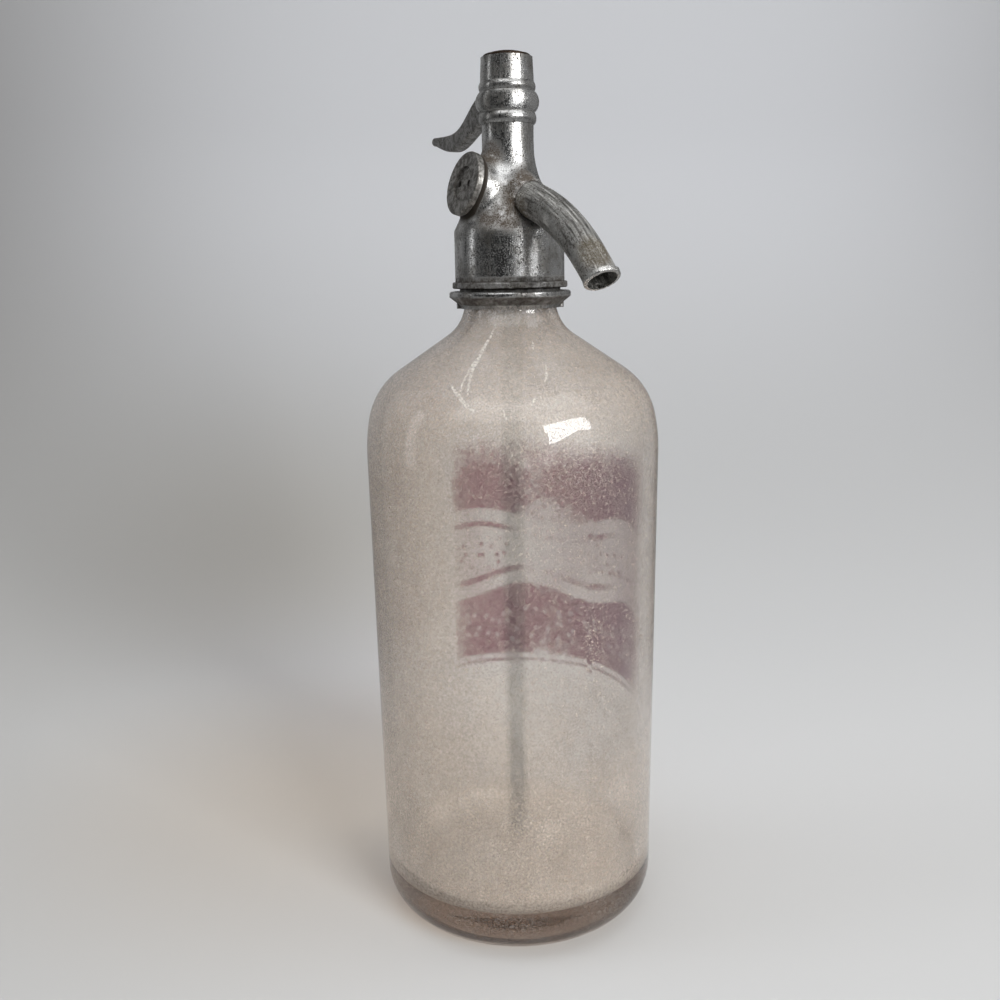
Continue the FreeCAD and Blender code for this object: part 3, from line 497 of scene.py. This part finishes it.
# %% Scale film on the inner wall
FLOOR_Z, LIP_Z = 15 * MM, 236 * MM  # the hollow's floor and the top of the film
FILM_DEPTH = 0.12 * MM
bm = bmesh.new()
bm.from_mesh(nodes["glass_bottle"].data)
bmesh.ops.remove_doubles(bm, verts=bm.verts, dist=1e-6)
outer = []
for face in bm.faces:
    middle = face.calc_center_median()
    side = Vector((middle.x, middle.y, 0)).normalized()
    on_floor = face.normal.z > 0.5 and middle.z < FLOOR_Z + 10 * MM
    inward = face.normal.dot(side) < -0.15 or on_floor
    if not inward or middle.z > LIP_Z or middle.z < FLOOR_Z - MM / 2:
        outer.append(face)
bmesh.ops.delete(bm, geom=outer, context="FACES")
bm.normal_update()
for vertex in bm.verts:
    vertex.co -= vertex.normal * FILM_DEPTH
film_bm = bm
print("film faces:", len(bm.faces))

# %% [markdown]
# The film is chalky: matt, off-white to beige, and thin enough to see through.
# Its alpha is built from layers that a real bottle shows: an even haze, cloudy
# patches, long runs down the wall, fine white specks, a column of coarse
# specks where water dripped, tide marks near the floor and a pale ring round
# its edge. It is thinner behind the print and on the near wall in front of it,
# so that the print shows through. There, crumbs take the place of the haze.


# %% Limescale material
scale, tree = new_material("limescale_film_dried_on_glass")
place = add(tree, "TexCoord").outputs["Object"]
up = add(tree, "SeparateXYZ", {0: place}).outputs["Z"]
clouds = noise(tree, place, 26, 5.0, 0.6)
haze = level(tree, clouds, 0.3, 0.72, 0.24, 0.42)
runs = noise(tree, stretched(tree, place, (1, 1, 0.05)), 2.4, 4.0)
haze = plus(tree, haze, level(tree, runs, 0.56, 0.78, 0.0, 0.16))
patchy = noise(tree, place, 11, 3.0)
specks = level(tree, dots(tree, place, 1.5), 0.20, 0.10)
specks = product(tree, specks, level(tree, patchy, 0.46, 0.62))
grit = level(tree, dots(tree, place, 0.9), 0.36, 0.20)
drip = near(tree, stretched(tree, place, (1, 1, 0.22)), (46, 2.6, 24.2), 8)
tide = slab(tree, up, 26, 64, 12, 14)
tide = product(tree, tide, level(tree, clouds, 0.46, 0.60))
coarse = product(tree, grit, plus(tree, drip, product(tree, tide, 0.35)))
dusty = noise(tree, place, 0.9, 4.0, 0.7)
in_front = before_print(tree, place)
haze = weakened(tree, haze, in_front, 0.22)
haze = plus(tree, haze, level(tree, dusty, 0.40, 0.62, -0.22, 0.26))
chalk = plus(tree, plus(tree, product(tree, specks, 0.36), product(tree, coarse, 0.55)), haze)
chalk = plus(tree, chalk, product(tree, tide, 0.10))
crumbs = level(tree, dusty, 0.58, 0.72, 0.0, 0.20)
chalk = plus(tree, chalk, product(tree, crumbs, in_front))
floor_ring = level(tree, up, 0.026, 0.020, 0.0, 0.30)
chalk = plus(tree, chalk, floor_ring)
print_side = level(tree, along(tree, place, (-0.53, 0.848, 0)), 0.018, 0.032)
clean = product(tree, print_side, slab(tree, up, 68, 178, 8, 10))
chalk = weakened(tree, chalk, clean, 0.20)
warm = mixed(tree, level(tree, patchy, 0.35, 0.7), colour("#c9c2ba"), colour("#bcb3a9"))
white = plus(tree, product(tree, specks, 0.6), coarse)
tone = mixed(tree, white, warm, colour("#ded8d0"))
grain = bumped(tree, chalk, 0.5, 0.05)
film = add(
    tree,
    "BsdfPrincipled",
    {"Base Color": tone, "Roughness": 0.85, "Alpha": chalk, "Normal": grain, "Specular IOR Level": 0.2},
)
add(tree, "OutputMaterial", {"Surface": film.outputs[0]})
scale_film = finish_piece("scale_film", film_bm, scale)
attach(scale_film, "bottle_and_head")

# %% [markdown]
# ## The print
# Siphons carry a fired-on print. This one is a made-up panel of water and
# fizz, worn by years in a crate: solid blocks with wavy edges below and above,
# thin waves and dots between them. It is a strip of the bottle's outer
# wall, made by spinning one slanted edge through the panel's angle. Its UV map
# is in millimetres.

# %% Printed panel
PRINT_LOW, PRINT_HIGH = 74.0, 168.0  # mm above the base
PRINT_FROM, PRINT_TO = 62.0, 182.0  # azimuth in degrees
PRINT_LIFT = 0.02  # mm above the glass
MEAN_R = 50.2  # mm, by which the angle becomes a width
FOOT_Z, FOOT_R = 15.0, 49.2  # the outer wall runs straight from here
SHOULDER_Z, SHOULDER_R = 170.6, 51.0  # to here


def wall_radius(z_mm):
    """Outer radius of the bottle's slightly tapered wall."""
    return FOOT_R + (SHOULDER_R - FOOT_R) * (z_mm - FOOT_Z) / (SHOULDER_Z - FOOT_Z)


bm = bmesh.new()
first = math.radians(PRINT_FROM)
ends = []
for z in (PRINT_LOW, PRINT_HIGH):
    out = (wall_radius(z) + PRINT_LIFT) * MM
    ends.append(bm.verts.new((out * math.cos(first), out * math.sin(first), z * MM)))
edge = bm.edges.new(ends)
bmesh.ops.spin(
    bm,
    geom=[edge] + ends,
    cent=(0, 0, 0),
    axis=(0, 0, 1),
    angle=math.radians(PRINT_TO - PRINT_FROM),
    steps=120,
)
for face in bm.faces:
    middle = face.calc_center_median()
    if face.normal.dot(Vector((middle.x, middle.y, 0))) < 0:
        face.normal_flip()
uv = bm.loops.layers.uv.new("panel_mm")
for face in bm.faces:
    for loop in face.loops:
        turned_by = math.degrees(math.atan2(loop.vert.co.y, loop.vert.co.x)) % 360 - PRINT_FROM
        loop[uv].uv = (math.radians(turned_by) * MEAN_R, loop.vert.co.z / MM - PRINT_LOW)
panel_bm = bm
PANEL_W = math.radians(PRINT_TO - PRINT_FROM) * MEAN_R
PANEL_H = PRINT_HIGH - PRINT_LOW
print("panel is", round(PANEL_W), "mm by", round(PANEL_H), "mm")

# %% [markdown]
# Fired enamel wears off in flakes, so every shape is first drawn whole and then
# multiplied by noise. Each shape is a few math nodes on the panel's own
# millimetres: a block ends where the height passes a sine of the width, a thin
# wave is the distance from another sine, and bubbles are the middles of a cell
# texture.

# %% Worn enamel
enamel, tree = new_material("fired_enamel_print_worn")
mm_place = add(tree, "UVMap", uv_map="panel_mm").outputs[0]
uvw = add(tree, "SeparateXYZ", {0: mm_place}).outputs
U, V = uvw["X"], uvw["Y"]
object_place = add(tree, "TexCoord").outputs["Object"]


def between(value, low, high, soft=0.25):
    rising = level(tree, value, low - soft, low + soft)
    return product(tree, rising, level(tree, value, high + soft, high - soft))


def sine(wave, middle):
    """Height of a wave along the panel about a middle height."""
    length, size = wave
    angle = product(tree, U, 2 * math.pi / length)
    swing = add(tree, "Math", {0: angle}, operation="SINE").outputs[0]
    return add(tree, "Math", {0: swing, 1: size, 2: middle}, operation="MULTIPLY_ADD").outputs[0]


def above(value, limit, soft=0.35):
    """1 where the value is more than the limit, which may be another node's."""
    return level(tree, minus(tree, value, limit), -soft, soft)


def wave_line(wave, middle, half_width, soft=0.3):
    away = minus(tree, V, sine(wave, middle))
    away = add(tree, "Math", {0: away}, operation="ABSOLUTE").outputs[0]
    return level(tree, away, half_width + soft, half_width - soft)


def without(a, b):
    left = add(tree, "Math", {0: 1.0, 1: b}, operation="SUBTRACT", use_clamp=True).outputs[0]
    return product(tree, a, left)


LOW_WAVE, HIGH_WAVE = (58.0, 2.6), (76.0, 3.4)  # length and size, in mm
BUBBLE_MM = 4.8  # from one bubble to the next
low_block = without(above(V, 4.0), above(V, sine(LOW_WAVE, 31.0)))
high_block = without(above(V, sine(HIGH_WAVE, 62.0)), above(V, 92.0))
thin = plus(tree, wave_line(LOW_WAVE, 37.5, 1.2), wave_line(HIGH_WAVE, 55.5, 1.0))
thin = product(tree, thin, level(tree, U, 24.0, 44.0))
bubbles = {"Vector": mm_place, "Scale": 1 / BUBBLE_MM}
bubbles = add(tree, "TexVoronoi", bubbles, voronoi_dimensions="2D").outputs["Distance"]
fizz = product(tree, level(tree, bubbles, 0.22, 0.17), between(V, 41.0, 52.0, 1.5))
holes = product(tree, level(tree, bubbles, 0.24, 0.19), between(V, 8.0, 24.0, 1.0))
inked = plus(tree, without(low_block, product(tree, holes, 0.8)), high_block)
inked = plus(tree, inked, plus(tree, thin, product(tree, fizz, 0.9)))
inked = plus(tree, inked, product(tree, between(V, 0.6, 1.8), 0.8))
inked = product(tree, inked, between(U, 1.0, PANEL_W - 1.0, 0.8))

# %% [markdown]
# Wear comes in three sizes: broad pale areas where hands held the bottle,
# flakes of a few millimetres, and pinholes. The enamel holds best near one end
# of the panel, and towards the other it has faded to a purple stain. It is thin,
# so light from behind shines through it: most of it is a tinted transparent
# shader, with a little matt paint for the light that falls on its face.

# %% Wear and colour of the enamel
HELD_AT = (60.0, 50.0)  # mm on the panel, where hands rubbed the enamel off
HELD_R, BARE_R = 24.0, 12.0  # mm, where that begins and where it is complete
broad = noise(tree, object_place, 30, 2.0)
flakes = noise(tree, object_place, 2.0, 6.0, 0.85)
squares = []
for value, middle in zip((U, V), HELD_AT):
    away = minus(tree, value, middle)
    squares.append(add(tree, "Math", {0: away, 1: 2.0}, operation="POWER").outputs[0])
held = add(tree, "Math", {0: squares[0], 1: squares[1]}, operation="ADD").outputs[0]
held = level(tree, held, HELD_R**2, BARE_R**2)
kept = level(tree, broad, 0.36, 0.60, 0.45, 1.0)
kept = plus(tree, kept, level(tree, U, PANEL_W * 0.62, PANEL_W * 0.80, 0.0, 0.5))
kept = weakened(tree, kept, held, 0.20)
kept = product(tree, kept, level(tree, V, 76.0, PANEL_H - 2.0, 1.0, 0.25))
kept = product(tree, kept, level(tree, U, PANEL_W - 9.0, PANEL_W, 1.0, 0.35))
flaked = add(tree, "Math", {0: flakes, 1: product(tree, kept, 0.30)}, operation="ADD").outputs[0]
flaked = level(tree, flaked, 0.58, 0.70)
cover = product(tree, product(tree, inked, flaked), 0.96)
stain = level(tree, broad, 0.36, 0.62, 0.06, 0.24)
stain = product(tree, stain, between(U, 4.0, PANEL_W - 4.0, 4.0))
stain = plus(tree, stain, product(tree, level(tree, U, 30.0, 4.0), 0.30))
stain = product(tree, stain, between(V, 5.0, PANEL_H - 5.0, 5.0))
cover = plus(tree, cover, stain)
fade = level(tree, U, PANEL_W * 0.55, PANEL_W * 0.10)
ink = mixed(tree, fade, colour("#7a2244"), colour("#6d3f66"))
paint = add(
    tree,
    "BsdfPrincipled",
    {"Base Color": ink, "Roughness": 0.55, "Alpha": cover, "Specular IOR Level": 0.4},
)
glow = mixed(tree, fade, colour("#831858"), colour("#82527e"))
glow = add(tree, "BsdfTransparent", {"Color": glow}).outputs[0]
share = product(tree, cover, 0.72)
enamelled = add(tree, "MixShader", {0: share, 1: paint.outputs[0], 2: glow})
add(tree, "OutputMaterial", {"Surface": enamelled.outputs[0]})
print_panel = finish_piece("print_panel", panel_bm, enamel)
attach(print_panel, "bottle_and_head")

# %% [markdown]
# ## Scratches and dried drips
# White scratches and drips run over the shoulder. Each is a narrow ribbon: a
# one-cell-wide grid whose points are cast onto the bottle along a path of
# azimuth and height, and lifted by a few hundredths of a millimetre. Noise
# breaks the ribbons up into crumbs.

# %% Scratches on the shoulder
bottle_mesh = nodes["glass_bottle"]
CAST_FROM = 0.09  # m from the axis, well outside the bottle
RIBBON_LIFT = 0.05  # mm above the glass
FRAYED = 1.3  # ribbons are cut wider than the scratch, since their edges crumble away
SCRATCHES = [
    # path as (azimuth, height) in degrees and mm, width in mm
    (((-45.6, 214.8), (-49.5, 208.4), (-50.2, 201.3), (-47.8, 194.3)), 0.9),
    (((-47.5, 210.0), (-51.8, 203.0), (-52.0, 197.5), (-50.8, 192.0)), 0.5),
    (((-58.3, 197.5), (-52.5, 194.4), (-47.0, 191.0), (-43.3, 189.2)), 1.0),
    (((-34.0, 190.6), (-32.3, 188.6), (-31.6, 186.4)), 0.7),
    (((-12.0, 209.4), (-13.1, 208.2), (-14.4, 206.8)), 0.6),
    (((-10.8, 202.4), (-12.5, 199.6), (-15.0, 197.6)), 0.6),
    (((-20.0, 194.0), (-21.0, 192.7), (-22.6, 191.0)), 0.6),
    (((96.0, 206.0), (101.0, 199.0), (103.0, 190.0)), 0.7),
    (((150.0, 186.0), (153.0, 176.0), (152.0, 168.0)), 0.6),
    (((-140.0, 204.0), (-137.0, 196.0), (-136.0, 188.0)), 0.5),
]


def on_bottle(azimuth, z_mm):
    """Point just above the bottle's outer skin, cast from outside towards the axis."""
    a = math.radians(azimuth)
    out = Vector((math.cos(a), math.sin(a), 0))
    start = out * CAST_FROM + Vector((0, 0, z_mm * MM))
    _, point, normal, _ = bottle_mesh.ray_cast(start, -out)
    return point + normal * RIBBON_LIFT * MM, normal


def on_path(path, t):
    """Point at 0 to 1 of a path, with its corners rounded by blending."""
    place = t * (len(path) - 1)
    i = min(int(place), len(path) - 2)
    s = place - i
    s = s * s * (3 - 2 * s) * 0.5 + s * 0.5
    return [a + (b - a) * s for a, b in zip(path[i], path[i + 1])]


bm = bmesh.new()
for path, width in SCRATCHES:
    made = bmesh.ops.create_grid(bm, x_segments=28, y_segments=1, size=0.5)["verts"]
    for vertex in made:
        t, side = vertex.co.x + 0.5, vertex.co.y * 2
        swell = 0.25 + 0.75 * math.sin(math.pi * min(max(t, 0.02), 0.98))
        point, normal = on_bottle(*on_path(path, t))
        ahead, _ = on_bottle(*on_path(path, min(t + 0.03, 1.0) if t < 0.97 else t))
        before, _ = on_bottle(*on_path(path, max(t - 0.03, 0.0)))
        sideways = normal.cross(ahead - before).normalized()
        vertex.co = point + sideways * side * FRAYED * width * swell * MM / 2
bmesh.ops.recalc_face_normals(bm, faces=bm.faces)

scratch, tree = new_material("scuffed_glass_and_dried_drips")
place = add(tree, "TexCoord").outputs["Object"]
broken = level(tree, noise(tree, place, 0.7, 5.0, 0.7), 0.38, 0.58, 0.0, 0.85)
dust = add(
    tree,
    "BsdfPrincipled",
    {"Base Color": colour("#e6e2dc"), "Roughness": 0.8, "Alpha": broken, "Specular IOR Level": 0.3},
)
add(tree, "OutputMaterial", {"Surface": dust.outputs[0]})
scratches = finish_piece("shoulder_scratches", bm, scratch)
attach(scratches, "bottle_and_head")


# %% [markdown]
# ## The metal head
# The head is cast pewter or brass with a nickel plate that has worn thin. New
# plating is bright and smooth; here it is streaked, pitted and grey, and its
# corners are darker. One recipe makes each of its finishes: a bright and a
# tarnished colour mixed by noise, pits as dark dots and bump, upright wipe
# marks in the roughness, and painted shade with dirt in the corners that
# ambient occlusion finds, where light and a cloth reach less. Corroded spots,
# dirty bands, painted black shade in the slit behind the plug's disc and
# rubbed rims are put where they belong by their place on the part.


# %% Worn metal recipe
def worn_metal(
    name, bright, tarnish, dirt_and_shade, rough, wear_mm, pit_mm, pit_depth, streak=(1, 1, 0.1), spots=(),
    corner_dirt_and_shade=0.8, tarnished=(0.42, 0.62), pit_share=0.5, pitted_by=1.0, rust="#433628", line_mm=0.9,
    line_depth=0.02, scored=0.0, grain=0.035, lumpy=0.08, bands=(), gap=None, polished=None,
    rounded=None, upright=None,
):
    """One finish of the head. Sizes and depths are in millimetres.

    rough is the range of the roughness over the drawn lines, which streak stretches and
    scored draws in light and dark. tarnished is the range of noise that turns bright into
    tarnish, and pit_share the noise from which pits show, with a strength of pitted_by.
    spots hold centre and reach, and bands two heights. gap paints black shade into a slit;
    gap and polished hold a direction and the distance along it in metres, and gap also the
    middle of the edge it stays near.
    rounded and upright start with the two heights they act between.
    """
    material, tree = new_material(name)
    place = add(tree, "TexCoord").outputs["Object"]
    up = add(tree, "SeparateXYZ", {0: place}).outputs["Z"]
    wear = noise(tree, place, wear_mm, 7.0, 0.65)
    dull = level(tree, wear, *tarnished)
    lines = noise(tree, stretched(tree, place, streak), line_mm, 4.0, 0.6)
    fine = noise(tree, place, 0.35, 2.0)
    blotch = noise(tree, place, 2.2, 6.0, 0.7)
    pits = level(tree, dots(tree, place, pit_mm), 0.42, 0.20)
    pitted = level(tree, noise(tree, place, 4.5, 3.0), pit_share, pit_share + 0.12)
    pits = plus(tree, product(tree, pits, pitted), level(tree, fine, 0.56, 0.66, 0.0, 0.65))
    pits = product(tree, pits, pitted_by)
    # painted shade and dirt: the colour darkens in the corners that ambient occlusion finds
    painted_corner_shade = add(tree, "AmbientOcclusion", {"Distance": 3.5 * MM}, samples=8).outputs["AO"]
    painted_corner_shade = level(tree, painted_corner_shade, 0.80, 0.35)
    dirt_and_painted_shade = product(tree, painted_corner_shade, level(tree, blotch, 0.30, 0.62, 0.35, 1.0))
    dirt_and_painted_shade = product(tree, dirt_and_painted_shade, corner_dirt_and_shade)
    for low, high in bands:
        ring = slab(tree, up, low, high, 0.4, 0.8)
        ring = product(tree, ring, level(tree, blotch, 0.36, 0.60, 0.25, 0.9))
        dirt_and_painted_shade = plus(tree, dirt_and_painted_shade, ring)
    if gap is not None:
        # painted shade: black on the edge of the boss, in the slit behind the plug's disc
        direction, start, centre = gap
        painted_slit_shade = level(tree, along(tree, place, direction), start - 0.5 * MM, start)
        painted_slit_shade = product(tree, painted_slit_shade, level(tree, near(tree, place, centre, 15), 0.05, 0.20))
        dirt_and_painted_shade = plus(tree, dirt_and_painted_shade, painted_slit_shade)
    speckled = level(tree, fine, 0.36, 0.60, 0.45, 1.0)
    speckled = product(tree, level(tree, blotch, 0.30, 0.50), speckled)
    brown = 0.0
    for centre, reach in spots:
        spot = level(tree, near(tree, place, centre, reach), 0.0, 0.4)
        brown = plus(tree, brown, product(tree, spot, speckled))
    soil_and_painted_shade = plus(tree, dirt_and_painted_shade, product(tree, pits, 0.85))
    soil_and_painted_shade = plus(tree, soil_and_painted_shade, product(tree, brown, 0.9))
    base = mixed(tree, dull, colour(bright), colour(tarnish))
    light_lines = product(tree, level(tree, lines, 0.53, 0.62), scored)
    dark_lines = product(tree, level(tree, lines, 0.45, 0.38), scored * 0.7)
    base = mixed(tree, light_lines, base, colour("#e6e5e1"))
    base = mixed(tree, dark_lines, base, colour("#3b3733"))
    base = mixed(tree, product(tree, pits, 0.9), base, colour("#2c2722"))
    base = mixed(tree, product(tree, brown, 0.95), base, colour(rust))
    # dirt and painted shade darken the colour
    base = mixed(tree, dirt_and_painted_shade, base, colour(dirt_and_shade))
    shine = level(tree, lines, 0.3, 0.7, *rough)
    if polished is not None:
        direction, start = polished
        rim = level(tree, along(tree, place, direction), start, start + 0.3 * MM)
        rim = product(tree, rim, level(tree, blotch, 0.62, 0.46))
        base = mixed(tree, rim, base, colour("#c4c3c0"))
        soil_and_painted_shade = weakened(tree, soil_and_painted_shade, rim, 0.2)
        shine = weakened(tree, shine, rim, 0.45)
    shine = plus(tree, shine, product(tree, dull, 0.10))
    shine = plus(tree, shine, product(tree, soil_and_painted_shade, 0.45))
    bare = minus(tree, 1.0, product(tree, soil_and_painted_shade, 0.9))
    facing = add(tree, "NewGeometry").outputs["Normal"]
    if rounded is not None:
        # the casting's joints are rounder than its solid: blend in normals of a wider rounding
        low, high, radius = rounded
        where = slab(tree, up, low, high, 2, 2)
        wide = add(tree, "Bevel", {"Radius": radius * MM}, samples=8).outputs["Normal"]
        facing = add(tree, "Mix", {0: where, 4: facing, 5: wide}, data_type="VECTOR").outputs[1]
    if upright is not None:
        # the bulge of the cap is a flat barrel: turn its normals towards the horizontal
        low, high, share = upright
        where = slab(tree, up, low, high, 0.3, 0.3)
        flatter = {0: facing, 1: (1, 1, share)}
        flatter = add(tree, "VectorMath", flatter, operation="MULTIPLY").outputs[0]
        facing = add(tree, "Mix", {0: where, 4: facing, 5: flatter}, data_type="VECTOR").outputs[1]
    facing = add(tree, "VectorMath", {0: facing}, operation="NORMALIZE").outputs[0]
    facing = bumped(tree, pits, 0.6, pit_depth, facing, invert=True)
    facing = bumped(tree, fine, 0.6, grain, facing)
    facing = bumped(tree, lines, 0.35, line_depth, facing)
    facing = bumped(tree, wear, 0.5, lumpy, facing)
    metal = add(
        tree,
        "BsdfPrincipled",
        {"Base Color": base, "Metallic": bare, "Roughness": shine, "Normal": facing},
    )
    add(tree, "OutputMaterial", {"Surface": metal.outputs[0]})
    return material


# %% [markdown]
# The numbers below are what differs from piece to piece. The column and skirt
# still shine; the spout is dull, with drawn lines along it and a corroded
# patch at its mouth; the side plug is mottled; the lever is a rough dark
# casting; the crown of the cap has gone brown.

# %% Metals of the head
HEAD_SPOTS = [
    # point of the part and reach, both in mm
    ((2.5, -8.4, 269.3), 6.5),
    ((15.2, -4.4, 258.0), 8.0),
    ((14.0, -1.0, 264.5), 6.0),
    ((14.5, -8.2, 249.5), 7.5),
    ((8.0, -12.0, 247.0), 6.0),
    ((16.0, 5.0, 250.0), 6.0),
    ((-8.0, -6.0, 262.0), 5.0),
]
SPOUT_SPOTS = [((55.0, -2, 238.0), 8.5), ((17.0, -3, 252.0), 7.0)]
PLUG_TILT = math.radians(15.4)  # of the side plug's axis, above the horizontal
OUTLET_TILT = math.radians(57)  # of the spout's mouth, below the horizontal


def farthest(name, direction):
    """Distance of a solid's last point along a direction, in metres."""
    return max(v.co.dot(direction) for v in nodes[name].data.vertices)


def lowest(name):
    """Height of a solid's lowest point, in millimetres."""
    return -farthest(name, Vector((0, 0, -1))) / MM


cap_low, skirt_low, collar_low = map(lowest, ("cap_sleeve", "head_body", "collar_half_left"))
CAP_BULGE = (cap_low + 3.9, cap_low + 10.3, 0.25)  # from and to, share of slope that is left
HEAD_BANDS = [(skirt_low - 0.5, skirt_low + 4.2), (collar_low + 1.0, collar_low + 4.4)]
plug_way = Vector((0, -math.cos(PLUG_TILT), math.sin(PLUG_TILT)))
BOSS_EDGE = (plug_way, farthest("side_plug", plug_way) - 4.2 * MM, (0, -14.7, 259.6))
outlet_way = Vector((math.cos(OUTLET_TILT), 0, -math.sin(OUTLET_TILT)))
SPOUT_RIM = (outlet_way, farthest("spout", outlet_way) - 1.7 * MM)

head_metal = worn_metal(
    "nickel_plate_worn_and_pitted", "#bcbcbb", "#8c8a86", "#2f2820", (0.12, 0.28), 9, 0.8, 0.05,
    spots=HEAD_SPOTS, corner_dirt_and_shade=0.85, pit_share=0.44, grain=0.011, lumpy=0.02, bands=HEAD_BANDS,
    gap=BOSS_EDGE, rounded=(242, 277, 4.0), upright=CAP_BULGE,
)
spout_metal = worn_metal(
    "pewter_spout_dull_and_scored", "#b8b7b4", "#94928d", "#2f2820", (0.32, 0.50), 1.6, 0.8, 0.14,
    streak=(0.06, 1, 0.06), spots=SPOUT_SPOTS, pit_share=0.44, rust="#564c38", line_mm=0.75,
    line_depth=0.7, scored=0.95, grain=0.12, polished=SPOUT_RIM,
)
plug_metal = worn_metal(
    "nickel_plug_mottled", "#a9a7a3", "#6c6965", "#332e29", (0.34, 0.50), 1.6, 0.9, 0.10,
    corner_dirt_and_shade=0.9, tarnished=(0.40, 0.58), pitted_by=0.45,
)
lever_metal = worn_metal(
    "cast_lever_rough", "#a3a2a0", "#757370", "#3e3934", (0.38, 0.56), 1.8, 0.8, 0.12,
)
top_metal = worn_metal(
    "steel_crown_gone_brown", "#4c3c31", "#2f2620", "#1d1713", (0.50, 0.70), 2, 0.9, 0.12,
    corner_dirt_and_shade=0.95,
)
inner_brass = worn_metal(
    "turned_brass", "#c9a765", "#8a6f42", "#3d3324", (0.22, 0.38), 5, 1.2, 0.05,
    streak=(1, 1, 6), corner_dirt_and_shade=0.6,
)
spring_steel = worn_metal(
    "drawn_spring_steel", "#b9bab8", "#8f8f8c", "#3a3531", (0.20, 0.32), 4, 1.5, 0.03, corner_dirt_and_shade=0.5,
)
print("metals made:", [m.name for m in (head_metal, spout_metal, plug_metal, lever_metal, top_metal)])

# %% [markdown]
# The return spring is pressed together when the lever lifts the stem. A rigid
# solid can't do that, so a copy of the coil with a mesh of its own stands for
# it, and the solid is hidden.

# %% Return spring
bm = bmesh.new()
bm.from_mesh(nodes["return_spring"].data)
coil = finish_piece("return_spring_coil", bm, spring_steel)
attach(coil, "bottle_and_head")
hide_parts("return_spring")
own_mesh(coil)

# %% [markdown]
# The seals are black moulded rubber: matt, slightly grey where it has bloomed.

# %% Rubber
rubber, tree = new_material("moulded_nitrile_rubber")
place = add(tree, "TexCoord").outputs["Object"]
bloom = noise(tree, place, 3, 5.0)
tone = mixed(tree, level(tree, bloom, 0.4, 0.7), colour("#1b1a19"), colour("#35322f"))
grain = bumped(tree, bloom, 0.4, 0.03)
seal = add(tree, "BsdfPrincipled", {"Base Color": tone, "Roughness": 0.72, "Normal": grain})
add(tree, "OutputMaterial", {"Surface": seal.outputs[0]})

# %% [markdown]
# Each solid names the finish it was packed with, so one table gives every
# finish its material, and the pieces keep their shapes.

# %% Put the materials on the solids
FINISHES = {
    "bottle_glass": bottle_glass,
    "tube_glass": tube_glass,
    "head_metal": head_metal,
    "spout_metal": spout_metal,
    "plug_metal": plug_metal,
    "lever_metal": lever_metal,
    "top_metal": top_metal,
    "inner_brass": inner_brass,
    "spring_steel": spring_steel,
    "black_rubber": rubber,
}
for name, solid in nodes.items():
    for place_in_list in solid.material_slots:
        finish = place_in_list.material.name.split(".")[0]
        place_in_list.material = FINISHES[finish]
    print(name, "wears", solid.material_slots[0].material.name)
